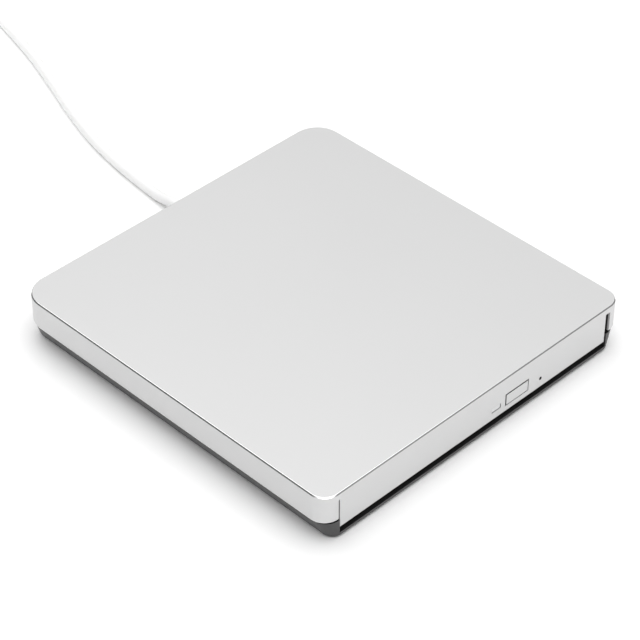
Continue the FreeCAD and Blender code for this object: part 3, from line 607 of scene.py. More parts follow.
# Near-black for the inside floor and the top of the brim: painted shade, darker than the shell's own black.
PAINTED_SHADE_INSIDE = Moulded("painted_shade_inside", "black_shell", (0.008, 0.008, 0.008), 0.85, 0.06, ior=1.3)
BLACK_PLASTIC = Moulded("black_moulding", "black_plastic", (0.028, 0.028, 0.030), 0.45, 0.08, 0.35, 0.014)
WHITE_PLASTIC = Moulded("natural_white_moulding", "white_plastic", (0.74, 0.73, 0.70), 0.38, 0.02, 0.5, 0.006)
RUBBER = Moulded("black_rubber", "rubber", (0.022, 0.022, 0.022), 0.78, 0.10, 0.22, 0.02)
CHIP = Moulded("chip_epoxy", "chip", (0.026, 0.027, 0.029), 0.55, 0.08, 0.15, 0.01)
COMPONENT = Moulded("ceramic_components", "component", (0.45, 0.36, 0.26), 0.45, 0.10, 0.4, 0.01, 2.0)
WIRE = Moulded("wire_insulation", "clear_film", (0.60, 0.60, 0.62), 0.35, 0.05, 0.5, 0.008)
STEEL = RolledSheet("zinc_plated_sheet", "steel", (0.50, 0.505, 0.515), 0.42)
BRIGHT_STEEL = PolishedMetal("ground_steel", "bright_steel", (0.60, 0.60, 0.61), 0.28, 0.02, Grain.Y)
PLUG_SHELL = PolishedMetal("plated_plug_shell", "plug_shell", (0.66, 0.66, 0.67), 0.28, 0.02, Grain.Y)
GOLD = PolishedMetal("gold_contacts", "gold_contact", (0.83, 0.62, 0.26), 0.22, 0.04, Grain.Y)
COPPER = Wound("copper_winding", "copper", (0.62, 0.27, 0.12), 0.32)
BOARD = BoardMask("green_board", "board", (0.020, 0.110, 0.045), 0.38)
FLEX = RibbonFilm("amber_ribbon", "flex", (0.55, 0.27, 0.05), 0.30)
FOAM = OpenFoam("open_foam", "foam", (0.05, 0.05, 0.05), 0.92)
VINYL = SoftVinyl("white_vinyl", "cord_jacket", (0.93, 0.93, 0.925), 0.36, 0.01)
FROSTED = ClearMoulding("frosted_window", "light_pipe", (0.74, 0.745, 0.75), 0.40, 0.02, 0.08)
# Grey for the walls of the holes in the tray front: partly bare moulding, partly painted shade in the gaps round the
# button and the light.
BARE_WALL_AND_SHADE = Moulded("bare_moulding_and_painted_shade", "silver_bezel", (0.17, 0.17, 0.175), 0.5, 0.03, 0.3, 0.008)
LENS = ClearMoulding("coated_lens", "lens", (0.72, 0.82, 0.98), 0.02, 0.0, 1.0, 1.0)


# Shaping


class Form:
    """A solid being shaped, in millimetres."""

    CLOSE = 1e-4

    def __init__(self) -> None:
        """Starts with nothing."""
        self.mesh = bmesh.new()

    def block(self, low: Point, high: Point) -> None:
        """Adds a box.

        Args:
            low: its lowest corner.
            high: its highest corner.
        """
        middle = [(a + b) / 2 for a, b in zip(low, high)]
        spans = [b - a for a, b in zip(low, high)]
        place = Matrix.Translation(middle) @ Matrix.Diagonal((*spans, 1.0))
        bmesh.ops.create_cube(self.mesh, size=1.0, matrix=place)

    def turned(self, profile: Iterable[tuple[float, float]], steps: int, place: Matrix) -> None:
        """Spins a profile about Z.

        Args:
            profile: (radius, height) points from one end of the axis to the other.
            steps: how many flat sides the round has.
            place: where the turned shape goes.
        """
        line = self.chain([(r, 0.0, z) for r, z in profile])
        bmesh.ops.spin(
            self.mesh, geom=line, cent=(0, 0, 0), axis=(0, 0, 1), angle=2 * math.pi, steps=steps, use_merge=True,
            use_duplicate=False,
        )
        fresh = [v for v in self.mesh.verts if not v.tag]
        bmesh.ops.remove_doubles(self.mesh, verts=fresh, dist=self.CLOSE)
        fresh = [v for v in self.mesh.verts if not v.tag]
        skin = dict.fromkeys(f for v in fresh for f in v.link_faces)
        bmesh.ops.recalc_face_normals(self.mesh, faces=list(skin))
        bmesh.ops.transform(self.mesh, matrix=place, verts=fresh)
        for v in fresh:
            v.tag = True

    def chain(self, points: Iterable[Point]) -> list[bmesh.types.BMVert | bmesh.types.BMEdge]:
        """Adds points joined by straight edges, and gives both."""
        verts = [self.mesh.verts.new(point) for point in points]
        return verts + [self.mesh.edges.new(pair) for pair in zip(verts, verts[1:])]

    def stacked(self, levels: list[list[Point]]) -> None:
        """Bridges rings of points into one skin, open above the first and closed below the last.

        Args:
            levels: the rings, from the highest to the lowest, all with as many points.
        """
        rings = []
        for level in levels:
            verts = [self.mesh.verts.new(point) for point in level]
            rings.append([self.mesh.edges.new((verts[k - 1], vert)) for k, vert in enumerate(verts)])
        for pair in zip(rings, rings[1:]):
            bmesh.ops.bridge_loops(self.mesh, edges=[edge for ring in pair for edge in ring])
        bmesh.ops.edgeloop_fill(self.mesh, edges=rings[-1])
        bmesh.ops.recalc_face_normals(self.mesh, faces=list(self.mesh.faces))

    def edges(self, test: Callable[[Vector, Vector], bool]) -> Edges:
        """The edges whose two ends pass a test."""
        return [e for e in self.mesh.edges if test(e.verts[0].co, e.verts[1].co)]

    def upright(self, test: Callable[[Vector], bool]) -> Edges:
        """The vertical edges whose middle passes a test."""
        return self.edges(lambda a, b: (a.xy - b.xy).length < self.CLOSE and test((a + b) / 2))

    def level(self, height: float) -> Edges:
        """The edges that lie at one height."""
        return self.edges(lambda a, b: abs(a.z - height) < self.CLOSE and abs(b.z - height) < self.CLOSE)

    def faces(self, test: Callable[[Vector, Vector], bool]) -> Faces:
        """The faces whose middle and normal pass a test."""
        self.mesh.normal_update()
        return [f for f in self.mesh.faces if test(f.calc_center_median(), f.normal)]

    def bevel(self, edges: Edges, width: float, segments: int, finish: int = -1) -> None:
        """Rounds or chamfers edges.

        Args:
            edges: the edges.
            width: how far the round starts from the edge.
            segments: how many faces the round has; one makes a chamfer.
            finish: the number of the finish on the new faces, or -1 for their neighbours'.
        """
        bmesh.ops.bevel(
            self.mesh, geom=edges, offset=width, offset_type="OFFSET", affect="EDGES", segments=segments,
            profile=0.5, clamp_overlap=True, material=finish,
        )

    def cut(self, faces: Faces, point: Point, normal: Point) -> None:
        """Draws a straight line across faces, where a plane meets them.

        Args:
            faces: the faces.
            point: a point of the plane.
            normal: the plane's direction.
        """
        geometry = dict.fromkeys(part for f in faces for part in (f, *f.edges, *f.verts))
        bmesh.ops.bisect_plane(self.mesh, geom=list(geometry), dist=self.CLOSE, plane_co=point, plane_no=normal)

    def remove(self, faces: Faces) -> None:
        """Takes faces away."""
        bmesh.ops.delete(self.mesh, geom=faces, context="FACES")

    def drawn_out(self, edges: Edges, offset: Point, finish: int = 0) -> Edges:
        """Pulls a wall out of open edges.

        Args:
            edges: the open edges.
            offset: where the wall ends, seen from them.
            finish: the number of its finish.

        Returns:
            The edges where the wall ends.
        """
        made = bmesh.ops.extrude_edge_only(self.mesh, edges=edges)["geom"]
        moved = [v for v in made if isinstance(v, bmesh.types.BMVert)]
        bmesh.ops.translate(self.mesh, vec=offset, verts=moved)
        for face in made:
            if isinstance(face, bmesh.types.BMFace):
                face.material_index = finish
        return [e for e in made if isinstance(e, bmesh.types.BMEdge)]

    def thicken(self, wall: float) -> None:
        """Gives an open skin its wall, inwards."""
        self.mesh.normal_update()
        bmesh.ops.solidify(self.mesh, geom=list(self.mesh.faces), thickness=wall)

    def piece(self, name: str, finishes: list[Finish], soft_edge: float = 0.0, angle: float = 35.0) -> bpy.types.Object:
        """Turns the form into a piece in metres.

        Args:
            name: the piece's name.
            finishes: its finishes, the main one first.
            soft_edge: the radius on its sharp edges, or 0 for none.
            angle: how sharp an edge has to be to get that radius, in degrees.

        Returns:
            The piece, at the origin.
        """
        bmesh.ops.scale(self.mesh, vec=(MM, MM, MM), verts=self.mesh.verts)
        self.mesh.normal_update()
        data = bpy.data.meshes.new(name)
        self.mesh.to_mesh(data)
        self.mesh.free()
        return shaded_piece(name, data, finishes, soft_edge, angle)


def placed(name: str, data: bpy.types.ID) -> bpy.types.Object:
    """Adds an object to the scene.

    Args:
        name: the object's name.
        data: its mesh, curve, light or camera.

    Returns:
        The object.
    """
    made = bpy.data.objects.new(name, data)
    bpy.context.scene.collection.objects.link(made)
    return made


def shaded_piece(
    name: str, data: bpy.types.Mesh, finishes: list[Finish], soft_edge: float, angle: float
) -> bpy.types.Object:
    """Makes a piece of a mesh, with its finishes, softened edges and even shading.

    Args:
        name: the piece's name.
        data: its mesh, in metres.
        finishes: its finishes, the main one first.
        soft_edge: the radius on its sharp edges in millimetres, or 0 for none.
        angle: how sharp an edge has to be to get that radius, in degrees.

    Returns:
        The piece.
    """
    piece = placed(name, data)
    for finish in finishes:
        data.materials.append(finish.material())
    data.shade_smooth()
    data.set_sharp_from_angle(angle=math.radians(angle))
    if soft_edge:
        bevel = piece.modifiers.new("soft_edges", "BEVEL")
        bevel.width = soft_edge * MM
        bevel.segments = 3
        bevel.limit_method = "ANGLE"
        bevel.angle_limit = math.radians(angle)
        bevel.use_clamp_overlap = True
        bevel.miter_outer = "MITER_ARC"
        bevel.harden_normals = True
    even = piece.modifiers.new("even_shading", "WEIGHTED_NORMAL")
    even.keep_sharp = not soft_edge
    return piece


@dataclass
class Workshop:
    """Puts pieces on the bodies that carry them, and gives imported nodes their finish."""

    frame: dict[str, object]
    weld: float = 0.001
    flat_angle: float = 0.25
    crease_angle: float = 30.0

    def fit(self, piece: bpy.types.Object, body: Body, finish: Finish, nodes: Iterable[str]) -> bpy.types.Object:
        """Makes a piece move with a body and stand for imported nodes.

        Args:
            piece: the piece, in its place.
            body: what carries it.
            finish: its main finish.
            nodes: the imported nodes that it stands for.

        Returns:
            The same piece.
        """
        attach(piece, body.value)
        return self.stand_in(piece, finish, nodes)

    def stand_in(self, piece: bpy.types.Object, finish: Finish, nodes: Iterable[str]) -> bpy.types.Object:
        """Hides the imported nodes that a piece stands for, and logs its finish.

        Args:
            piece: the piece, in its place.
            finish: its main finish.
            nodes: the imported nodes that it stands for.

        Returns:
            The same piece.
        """
        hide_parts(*nodes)
        LOG.info("%s stands in %s", piece.name, finish.name)
        return piece

    def softened(self, node: str, name: str, finish: Finish, body: Body, soft_edge: float) -> bpy.types.Object:
        """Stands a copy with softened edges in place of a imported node.

        Args:
            node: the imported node.
            name: the new piece's name.
            finish: its finish.
            body: what carries it.
            soft_edge: the radius on its sharp edges, in millimetres.

        Returns:
            The new piece.
        """
        shape = bmesh.new()
        shape.from_mesh(self.frame["nodes"][node].data)
        bmesh.ops.remove_doubles(shape, verts=shape.verts, dist=self.weld * MM)
        flat = math.radians(self.flat_angle)
        bmesh.ops.dissolve_limit(shape, angle_limit=flat, verts=shape.verts, edges=shape.edges, delimit=set())
        data = bpy.data.meshes.new(name)
        shape.to_mesh(data)
        shape.free()
        piece = shaded_piece(name, data, [finish], soft_edge, self.crease_angle)
        return self.fit(piece, body, finish, [node])

    def dress(self, finish: Finish, *nodes: str) -> None:
        """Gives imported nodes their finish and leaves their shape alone.

        Args:
            finish: the finish.
            nodes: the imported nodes.
        """
        for node in nodes:
            part = self.frame["nodes"][node]
            part.data.materials.clear()
            part.data.materials.append(finish.material())
            LOG.info("%s is dressed in %s", node, finish.name)


# Case


@dataclass
class Case:
    """The silver upper shell, the black lower shell and what is fixed to them."""

    shop: Workshop
    width: float = 142.0
    depth: float = 146.0
    top: float = 19.5
    seam: float = 8.7
    underside: float = 0.6
    wall: float = 1.6
    rear_radius: float = 10.0
    rear_steps: int = 20
    front_radius: float = 6.0
    front_steps: int = 16
    front_zone: float = 1.0
    near: float = 0.01
    cut_edge: float = 0.4
    edge_round: float = 0.1
    seam_round: float = 0.3
    opening: float = 64.7
    lip: float = 16.85
    post_depth: float = 7.0
    post_skin: float = 0.8
    floor_top: float = 2.2
    base_opening: float = 63.85
    base_post_depth: float = 6.2
    side_step: float = 0.85
    end_step: float = 0.3
    taper: float = 3.5
    bend: float = 0.5
    side_levels: int = 9
    joint: float = 1.0
    roll: float = 0.9
    end_roll: float = 0.5
    roll_steps: int = 6
    foot_radius: float = 4.0
    foot_place: tuple[float, float] = (56.0, 62.0)

    def build(self) -> None:
        """Makes the case's pieces."""
        self.upper_shell()
        self.lower_shell()
        self.feet()
        self.shop.dress(BRIGHT_STEEL, "case_screws")
        self.shop.dress(FOAM, "foam_pads")

    def open_front(
        self, form: Form, opening: float, heights: tuple[float, float], depth: float, shade_lining: int = 0
    ) -> None:
        """Cuts the drive's opening, and gives its posts their return walls.

        Args:
            form: the shell's open skin.
            opening: half of the opening's width.
            heights: its lower and its upper edge.
            depth: how far back the return walls go.
            shade_lining: the number of the finish on them, behind the shell's own thickness; a dark finish there is
                partly an unfinished inside and partly painted shade deep in the slot.
        """
        front = -self.depth / 2 + self.front_zone
        low, high = heights

        def facing(middle: Vector, normal: Vector) -> bool:
            """Whether a face is on the front."""
            return middle.y < front and normal.y < -0.05

        def on_post(p: Vector) -> bool:
            """Whether a point is on the opening's left or right edge."""
            near = self.near
            return abs(abs(p.x) - opening) < near and p.y < front and low - near < p.z < high + near

        for x in (-opening, opening):
            form.cut(form.faces(facing), (x, 0, 0), (1, 0, 0))
        for z in heights:
            form.cut(form.faces(facing), (0, 0, z), (0, 0, 1))
        form.remove(form.faces(lambda m, n: facing(m, n) and abs(m.x) < opening and low < m.z < high))
        posts = form.edges(lambda p, q: on_post(p) and on_post(q))
        behind = form.drawn_out([e for e in posts if e.is_boundary], (0, self.post_skin, 0))
        form.drawn_out(behind, (0, depth - self.post_skin, 0), shade_lining)

    def upper_shell(self) -> None:
        """The silver shell: rounded corners, polished edges above and at the seam, and the front opening."""
        form = Form()
        x, y = self.width / 2, self.depth / 2
        form.block((-x, -y, self.seam), (x, y, self.top))
        form.bevel(form.upright(lambda p: p.y > 0), self.rear_radius, self.rear_steps)
        form.bevel(form.upright(lambda p: p.y < 0 and abs(p.x) > self.opening), self.front_radius, self.front_steps)
        form.bevel(form.level(self.top), self.cut_edge, 1, finish=1)
        form.bevel(form.level(self.top), self.edge_round, 4, finish=1)
        form.bevel(form.level(self.seam), self.seam_round, 4, finish=1)
        form.remove(form.faces(lambda m, n: n.z < -0.99))
        # Behind the shell's own thickness the posts' return walls take the black finish: partly an unfinished inside,
        # partly painted shade deep in the slot.
        self.open_front(form, self.opening, (self.seam, self.lip), self.post_depth, 2)
        form.thicken(self.wall)
        piece = form.piece("upper_shell", [SILVER, CUT_EDGE, BLACK_SHELL], 0.07, 30.0)
        self.shop.fit(piece, Body.CASE, SILVER, ["top_cover"])

    def side_inset(self, height: float) -> float:
        """How far in the lower shell's sides are at a height."""
        down = (self.seam - height) / (self.seam - self.underside)
        return self.side_step + self.taper * (self.bend * down + (1.0 - self.bend) * down**2)

    def base_level(self, side: float, end: float, height: float) -> list[Point]:
        """One level of the lower shell: a rounded rectangle inside the case's outline.

        Args:
            side: how far in its sides are.
            end: how far in its front and its back are.
            height: the level's height.

        Returns:
            Its points, anticlockwise from the front left corner.
        """
        x, y = self.width / 2 - side, self.depth / 2 - end
        front = (self.front_radius - side / 2, self.front_steps)
        rear = (self.rear_radius - side, self.rear_steps)
        points = []
        for quarter, (radius, steps) in ((2, front), (3, front), (0, rear), (1, rear)):
            east, north = (1 if quarter in (0, 3) else -1), (1 if quarter < 2 else -1)
            middle = (east * (x - radius), north * (y - radius))
            for k in range(steps + 1):
                turn = math.pi / 2 * (quarter + k / steps)
                points.append((middle[0] + radius * math.cos(turn), middle[1] + radius * math.sin(turn), height))
        return points

    def lower_shell(self) -> None:
        """The black shell: a shadow joint under the seam, sides that curve in, and an edge that rolls under."""
        bottom, brim = self.underside + self.roll, self.seam - self.joint
        levels = []
        for k in range(self.side_levels + 1):
            z = brim + (bottom - brim) * k / self.side_levels
            levels.append(self.base_level(self.side_inset(z), self.end_step, z))
        side = self.side_inset(bottom)
        for k in range(1, self.roll_steps + 1):
            turn = math.pi / 2 * k / self.roll_steps
            over = 1.0 - math.cos(turn)
            level = bottom - self.roll * math.sin(turn)
            levels.append(self.base_level(side + self.roll * over, self.end_step + self.end_roll * over, level))
        form = Form()
        form.stacked(levels)
        self.open_front(form, self.base_opening, (self.floor_top, brim), self.base_post_depth)
        form.thicken(self.wall)
        # The inside floor behind the gap under the tray front and the brim's top in the shadow joint get the near-black
        # finish: painted shade.
        for face in form.faces(lambda m, n: n.z > 0.9 and (m.z < self.floor_top + 0.1 or m.z > brim - 0.1)):
            face.material_index = 1
        piece = form.piece("lower_shell", [BLACK_SHELL, PAINTED_SHADE_INSIDE], 0.1, 30.0)
        self.shop.fit(piece, Body.CASE, BLACK_SHELL, ["base_case"])

    def feet(self) -> None:
        """Four round rubber feet, with a soft edge and a shallow dish where they meet the table."""
        form = Form()
        r = self.foot_radius
        profile = [(0.0, 0.12), (r - 1.1, 0.12), (r - 0.9, 0.0), (r - 0.35, 0.0), (r - 0.1, 0.08), (r, 0.32)]
        profile += [(r, 1.0), (0.0, 1.0)]
        for x in (-self.foot_place[0], self.foot_place[0]):
            for y in (-self.foot_place[1], self.foot_place[1]):
                form.turned(profile, 40, Matrix.Translation((x, y, 0)))
        piece = form.piece("feet", [RUBBER])
        self.shop.fit(piece, Body.CASE, RUBBER, ["rubber_feet"])


# Front of the tray


@dataclass
class TrayFront:
    """The silver panel that closes the opening, with its button, light and hole."""

    shop: Workshop
    holes: tuple[Window, ...] = ((13.0, 24.8, 6.2, 11.6), (6.5, 11.2, 7.1, 9.3))
    pinhole: Window = (29.8, 31.4, 7.1, 8.7)
    face: float = -72.4
    button_face: float = -72.55
    paint_depth: float = 0.12

    def bare_and_shaded_walls(self, piece: bpy.types.Object, face: float, finish: Finish, holes: tuple[Window, ...]) -> None:
        """Gives the walls behind a painted face a darker colour: partly the moulding's own, partly painted shade in the
        gap.

        Args:
            piece: the piece.
            face: where its painted face is along Y.
            finish: the finish of the walls.
            holes: the lowest and highest X, and the lowest and highest Z, of each hole.
        """
        piece.data.materials.append(finish.material())
        number = len(piece.data.materials) - 1
        for wall in piece.data.polygons:
            x, y, z = wall.center / MM
            inside = any(x0 < x < x1 and z0 < z < z1 for x0, x1, z0, z1 in holes)
            if inside and abs(wall.normal.y) < 0.5 and y > face + self.paint_depth:
                wall.material_index = number

    def build(self) -> None:
        """Makes the tray's front."""
        shop = self.shop
        panel = shop.softened("tray_bezel", "front_panel", LIT_SILVER_PANEL, Body.TRAY, 0.04)
        button = shop.softened("eject_button", "button_cap", LIT_SILVER_PANEL, Body.BUTTON, 0.04)
        shop.softened("led_light_pipe", "light_window", FROSTED, Body.TRAY, 0.02)
        # The hole walls are darker than the face: partly bare moulding, partly painted shade in the gaps and the
        # pinhole.
        self.bare_and_shaded_walls(panel, self.face, BARE_WALL_AND_SHADE, self.holes)
        self.bare_and_shaded_walls(panel, self.face, BLACK_PLASTIC, (self.pinhole,))
        self.bare_and_shaded_walls(button, self.button_face, BLACK_PLASTIC, self.holes)


# Tray and what it carries


@dataclass
class DiscTray:
    """The tray and the pieces that show on it when it is open."""

    shop: Workshop

    def build(self) -> None:
        """Makes the tray's pieces."""
        shop = self.shop
        for node, name, finish, body, soft_edge in (
            ("tray", "disc_tray", BLACK_PLASTIC, Body.TRAY, 0.25),
            ("traverse_cover", "unit_cover", BLACK_PLASTIC, Body.TRAY, 0.12),
            ("tray_bottom_cover", "tray_underside", STEEL, Body.TRAY, 0.08),
            ("traverse_chassis", "unit_chassis", STEEL, Body.TRAY, 0.08),
            ("turntable", "disc_hub", BRIGHT_STEEL, Body.ROTOR, 0.12),
            ("turntable_ring", "disc_seat_ring", RUBBER, Body.ROTOR, 0.10),
            ("pickup_body", "pickup_sled", STEEL, Body.PICKUP, 0.15),
            ("pickup_cover", "pickup_lid", BLACK_PLASTIC, Body.PICKUP, 0.08),
            ("lens_holder", "lens_seat", BLACK_PLASTIC, Body.LENS, 0.10),
            ("left_rail", "rail_left", STEEL, Body.LEFT_RAIL, 0.10),
            ("right_rail", "rail_right", STEEL, Body.RIGHT_RAIL, 0.10),
            ("latch_lever", "latch_hook", WHITE_PLASTIC, Body.LATCH, 0.10),
        ):
            shop.softened(node, name, finish, body, soft_edge)
        shop.dress(BOARD, "front_board")
        shop.dress(BLACK_PLASTIC, "tact_switch")
        shop.dress(WHITE_PLASTIC, "led_chip", "eject_plunger")
        shop.dress(COPPER, "latch_solenoid", "stator_core")
        shop.dress(BRIGHT_STEEL, "eject_spring", "guide_rods", "traverse_screws", "chuck_balls", "lead_screw")
        shop.dress(RUBBER, "damper_bushings")
        shop.dress(STEEL, "spindle_base", "stepper_motor", "screw_bracket")
        shop.dress(LENS, "objective_lens")


@dataclass
class DriveBody:
    """What stays in the case: the drive's own frame, its electronics and the bridge board."""

    shop: Workshop

    def build(self) -> None:
        """Dresses the fixed pieces."""
        shop = self.shop
        shop.softened("drive_lid", "drive_top", STEEL, Body.CASE, 0.10)
        shop.softened("drive_pan", "drive_bottom", STEEL, Body.CASE, 0.10)
        shop.dress(BRIGHT_STEEL, "lid_screws", "latch_post", "board_screws")
        shop.dress(WHITE_PLASTIC, "left_guide", "right_guide")
        shop.dress(BOARD, "drive_board", "bridge_board")
        shop.dress(CHIP, "drive_chips", "bridge_chip")
        shop.dress(BLACK_PLASTIC, "drive_socket", "bridge_plug")
        shop.dress(COMPONENT, "board_components")
        shop.dress(WIRE, "cable_wires")


@dataclass
class RibbonCable:
    """The flat cable from the drive's board, folded back under the tray that draws it along."""

    shop: Workshop
    edges: tuple[float, float] = (35.0, 45.0)
    film: float = 0.15
    low: float = 4.05
    fold_radius: float = 2.0
    fold: float = -35.0
    slope: float = 4.0
    board_end: tuple[float, float] = (37.0, 5.4)
    tray_end: tuple[float, float] = (30.0, 10.05)
    fold_steps: int = 10
    run_step: float = 2.0
    drawn_over: float = 62.0
    rise_share: float = 0.48

    def path(self) -> list[Point]:
        """Draws the film's middle line.

        Returns:
            Its points, from the board, round the fold and up to the tray.
        """
        x, half = self.edges[0], self.film / 2
        points = []
        for (end, height), level, sign in (
            (self.board_end, self.low, 1), (self.tray_end, self.low + 2 * self.fold_radius - self.film, -1)
        ):
            flat, foot = end - self.slope, end - 2 * self.slope
            count = round((foot - self.fold) / self.run_step)
            run = [(x, foot - k * (foot - self.fold) / count, level + half) for k in range(count + 1)]
            points += [(x, end, height + half), (x, flat, height + half), *run][::sign]
            if sign == 1:
                points += self.bend()
        return points

    def bend(self) -> list[Point]:
        """Draws the fold.

        Returns:
            The points between its two runs.
        """
        x, radius = self.edges[0], self.fold_radius - self.film / 2
        turns = [math.pi * k / self.fold_steps for k in range(1, self.fold_steps)]
        middle = self.low + self.fold_radius
        return [(x, self.fold - radius * math.sin(t), middle - radius * math.cos(t)) for t in turns]

    def build(self) -> None:
        """Makes the ribbon."""
        form = Form()
        form.chain(self.path())
        form.drawn_out(list(form.mesh.edges), (self.edges[1] - self.edges[0], 0, 0))
        bmesh.ops.recalc_face_normals(form.mesh, faces=list(form.mesh.faces))
        bmesh.ops.translate(form.mesh, vec=(0, 0, self.film / 2), verts=list(form.mesh.verts))
        form.thicken(self.film)
        piece = form.piece("ribbon_cable", [FLEX])
        self.shop.stand_in(piece, FLEX, ["flex_cable"])
        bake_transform(piece)


# Cord


@dataclass
class Cord:
    """The captive cord: its route, its put-away coil, its strain relief and its plug."""

    shop: Workshop
    radius: float = 2.0
    length: float = 0.552
    lead: list[Point] = field(
        default_factory=lambda: [
            (12.3, 82.0, 4.6), (12.4, 88.0, 4.6), (13.1, 96.0, 2.3), (14.3, 108.0, 2.0), (16.2, 124.0, 2.0),
            (19.6, 141.0, 2.0), (25.0, 158.5, 2.0), (31.8, 177.0, 2.0), (38.7, 196.0, 2.0), (44.7, 217.5, 2.0),
            (49.6, 238.5, 2.0),
        ]
    )
    coil_radius: float = 24.2
    coil_turns: float = 2.5
    coil_start: float = -15.0
    coil_step: float = 4.5
    climb_turns: float = 0.5
    points_per_turn: int = 24
    last_run: float = 17.0
    tail_run: float = 12.0
    tail_turn: float = -8.0
    plug_height: float = 3.9

    def coil_place(self, turns: float) -> Vector:
        """Follows the coil's centreline: in, up a layer where it reverses, and out.

        Args:
            turns: how many turns it has made.

        Returns:
            Where it is then.
        """
        start = math.radians(self.coil_start)
        end_of_lead = Vector(self.lead[-1]) + self.last_run * Vector((-math.sin(start), math.cos(start), 0))
        centre = end_of_lead - self.coil_radius * Vector((math.cos(start), math.sin(start), 0))
        half = self.coil_turns / 2
        radius = self.coil_radius - self.coil_step * (half - abs(turns - half))
        climb = min(max(turns - (half - self.climb_turns / 2), 0.0), self.climb_turns) / self.climb_turns
        angle = start + 2 * math.pi * turns
        height = self.radius + self.coil_step * (1 - math.cos(math.pi * climb)) / 2
        return Vector((centre.x + radius * math.cos(angle), centre.y + radius * math.sin(angle), height))

    def tail(self) -> list[Vector]:
        """Leads the cord out of its coil.

        Returns:
            The points from the coil's end to the plug.
        """
        count = self.coil_turns
        end = self.coil_place(count)
        ahead = end - self.coil_place(count - 1e-4)
        angle = math.atan2(ahead.y, ahead.x)
        points = [end]
        for height in (end.z, self.plug_height, self.plug_height):
            step = self.tail_run * Vector((math.cos(angle), math.sin(angle), 0))
            points.append(Vector(((points[-1] + step).x, (points[-1] + step).y, height)))
            angle += math.radians(self.tail_turn)
        return points

    def route(self) -> list[Vector]:
        """Joins the lead, the coil and the tail.

        Returns:
            Every control point, from the strain relief to the plug.
        """
        steps = round(self.coil_turns * self.points_per_turn)
        coil = [self.coil_place(k / self.points_per_turn) for k in range(steps)]
        return [Vector(p) for p in self.lead] + coil + self.tail()

    def build(self) -> None:
        """Makes the cord and what is on it."""
        curve = bpy.data.curves.new("cord", "CURVE")
        curve.dimensions = "3D"
        curve.bevel_depth = self.radius * MM
        curve.bevel_resolution = 6
        curve.resolution_u = 8
        curve.use_fill_caps = True
        points = self.route()
        line = curve.splines.new("NURBS")
        line.points.add(len(points) - 1)
        for control, point in zip(line.points, points):
            control.co = (*(point * MM), 1.0)
        line.order_u = 3
        line.use_endpoint_u = True
        line.use_smooth = True
        curve.materials.append(VINYL.material())
        piece = placed("cord", curve)
        self.shop.fit(piece, Body.CASE, VINYL, ["cord_lead", "cord_coil", "cord_tail"])
        relief = self.shop.softened("cord_strain_relief", "strain_relief", VINYL, Body.CASE, 0.15)
        body = self.shop.softened("cord_plug_body", "plug_grip", VINYL, Body.CASE, 0.12)
        shell = self.shop.softened("cord_plug_shell", "plug_sleeve", PLUG_SHELL, Body.CASE, 0.05)
        self.shop.dress(WHITE_PLASTIC, "cord_plug_tongue")
        self.shop.dress(GOLD, "cord_plug_contacts")


# Studio


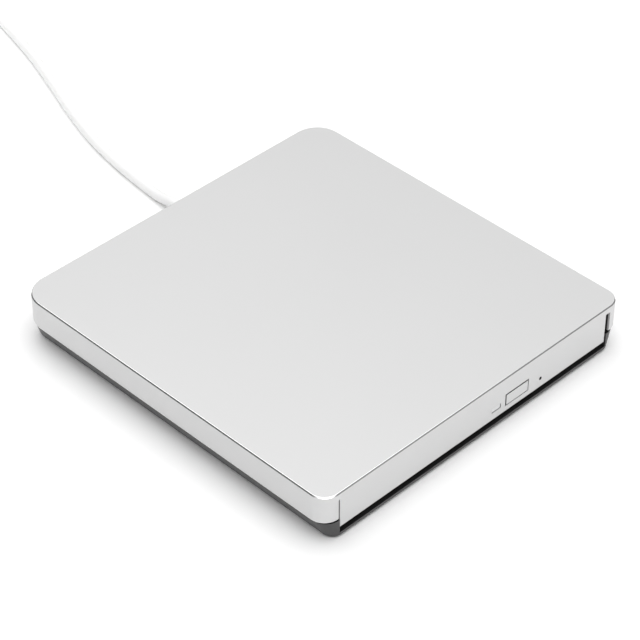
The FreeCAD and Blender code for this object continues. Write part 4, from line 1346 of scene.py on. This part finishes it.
@dataclass
class Studio:
    """The white sweep, the soft light and the camera at the photograph's angle."""

    azimuth: float = -44.90563
    elevation: float = 39.62923
    roll: float = -0.08461
    distance: float = 829.9
    aim: Point = (-9.74, -9.54, 19.5)
    lens: float = 140.25
    sensor: float = 36.0
    floor_size: float = 40000.0
    floor_colour: float = 0.97
    floor_lift: float = 0.04
    sweep: tuple[float, float] = (260.0, 1100.0)
    softbox_size: float = 1300.0
    softbox_place: Point = (60.0, 300.0, 1000.0)
    softbox_power: float = 4.9
    sky: float = 0.298
    sky_levels: tuple[tuple[float, float], ...] = ((0.36, 0.84), (0.46, 0.44), (0.60, 0.44), (0.68, 1.7), (0.74, 2.9))
    sky_side: Point = (0.6, 0.8, 0.0)
    sky_side_lift: float = 0.3
    sky_front: Point = (-0.3, -0.95, 0.0)
    sky_front_lift: float = 2.6

    def build(self) -> None:
        """Sets up the camera, the floor and the light."""
        self.camera()
        self.floor()
        self.softbox()
        self.surroundings()
        bpy.context.scene.view_settings.view_transform = "Standard"

    def camera(self) -> None:
        """A long lens, far back, level with the photograph's view."""
        a, e, r = (math.radians(angle) for angle in (self.azimuth, self.elevation, self.roll))
        back = Vector((math.sin(a) * math.cos(e), -math.cos(a) * math.cos(e), math.sin(e)))
        right = Vector((math.cos(a), math.sin(a), 0))
        up = back.cross(right)
        tilted_right = math.cos(r) * right - math.sin(r) * up
        tilted_up = math.sin(r) * right + math.cos(r) * up
        data = bpy.data.cameras.new("camera")
        data.lens = self.lens
        data.sensor_width = self.sensor
        data.clip_start, data.clip_end = 0.01, 100.0
        camera = placed("camera", data)
        turn = Matrix((tilted_right, tilted_up, back)).transposed().to_4x4()
        camera.matrix_world = Matrix.Translation((Vector(self.aim) + self.distance * back) * MM) @ turn
        bpy.context.scene.camera = camera

    def floor(self) -> None:
        """A white sweep, lifted a little towards white where the camera and reflections see it."""
        material = bpy.data.materials.new("white_sweep")
        shader = Shader(material)
        paper, chalk = (
            shader.node("ShaderNodeBsdfDiffuse", None, {"Color": (level, level, level, 1.0)})
            for level in (self.floor_colour, self.floor_lift)
        )
        near = shader.node("ShaderNodeAddShader", None, {0: paper, 1: chalk})
        reach = shader.node("ShaderNodeVectorMath", {"operation": "LENGTH"}, {0: shader.place()}, "Value")
        white = shader.node("ShaderNodeEmission", None, {"Strength": 1.0})
        lit = shader.node("ShaderNodeMixShader", None, {0: reach.eased(*self.sweep), 1: near, 2: white})
        seen = shader.node("ShaderNodeLightPath", output="Is Camera Ray")
        seen = seen + shader.node("ShaderNodeLightPath", output="Is Glossy Ray")
        seen = seen + shader.node("ShaderNodeLightPath", output="Is Transmission Ray")
        shader.close(shader.node("ShaderNodeMixShader", None, {0: seen, 1: paper, 2: lit}))
        form = Form()
        bmesh.ops.create_grid(form.mesh, x_segments=1, y_segments=1, size=self.floor_size / 2 * MM)
        data = bpy.data.meshes.new("floor")
        form.mesh.to_mesh(data)
        form.mesh.free()
        data.materials.append(material)
        placed("floor", data)

    def softbox(self) -> None:
        """One large soft light overhead, which keeps the shadow close round the case."""
        data = bpy.data.lights.new("softbox", "AREA")
        data.shape = "SQUARE"
        data.size = self.softbox_size * MM
        data.energy = self.softbox_power
        placed("softbox", data).location = Vector(self.softbox_place) * MM

    def surroundings(self) -> None:
        """White walls and ceiling with a darker band between them, which the polished edge picks up as a line."""
        world = bpy.data.worlds.new("surroundings")
        bpy.context.scene.world = world
        shader = Shader(world)
        way = shader.node("ShaderNodeTexCoord", output="Generated")
        height = shader.node("ShaderNodeSeparateXYZ", None, {"Vector": way}, "Z")
        aside, ahead = (
            shader.node("ShaderNodeVectorMath", {"operation": "DOT_PRODUCT"}, {0: way, 1: side}, "Value").floored()
            for side in (self.sky_side, self.sky_front)
        )
        place = height + self.sky_side_lift * aside
        levels = shader.node("ShaderNodeValToRGB", {"stops": self.sky_levels}, {"Fac": place})
        strength = self.sky * (1.0 + self.sky_front_lift * ahead)
        light = shader.node("ShaderNodeBackground", None, {"Color": levels, "Strength": strength})
        white = shader.node("ShaderNodeBackground", None, {"Color": (1.0, 1.0, 1.0, 1.0), "Strength": 1.0})
        seen = shader.node("ShaderNodeLightPath", output="Is Camera Ray")
        shader.close(shader.node("ShaderNodeMixShader", None, {0: seen, 1: light, 2: white}))


def main() -> None:
    """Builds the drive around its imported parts."""
    logging.basicConfig(level=logging.INFO, format="%(message)s")
    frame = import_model()
    shop = Workshop(frame)
    Studio().build()
    for assembly in (Cord(shop), Case(shop), TrayFront(shop), DiscTray(shop), DriveBody(shop), RibbonCable(shop)):
        assembly.build()
        LOG.info("%s is built", type(assembly).__name__)


if __name__ == "__main__":
    main()
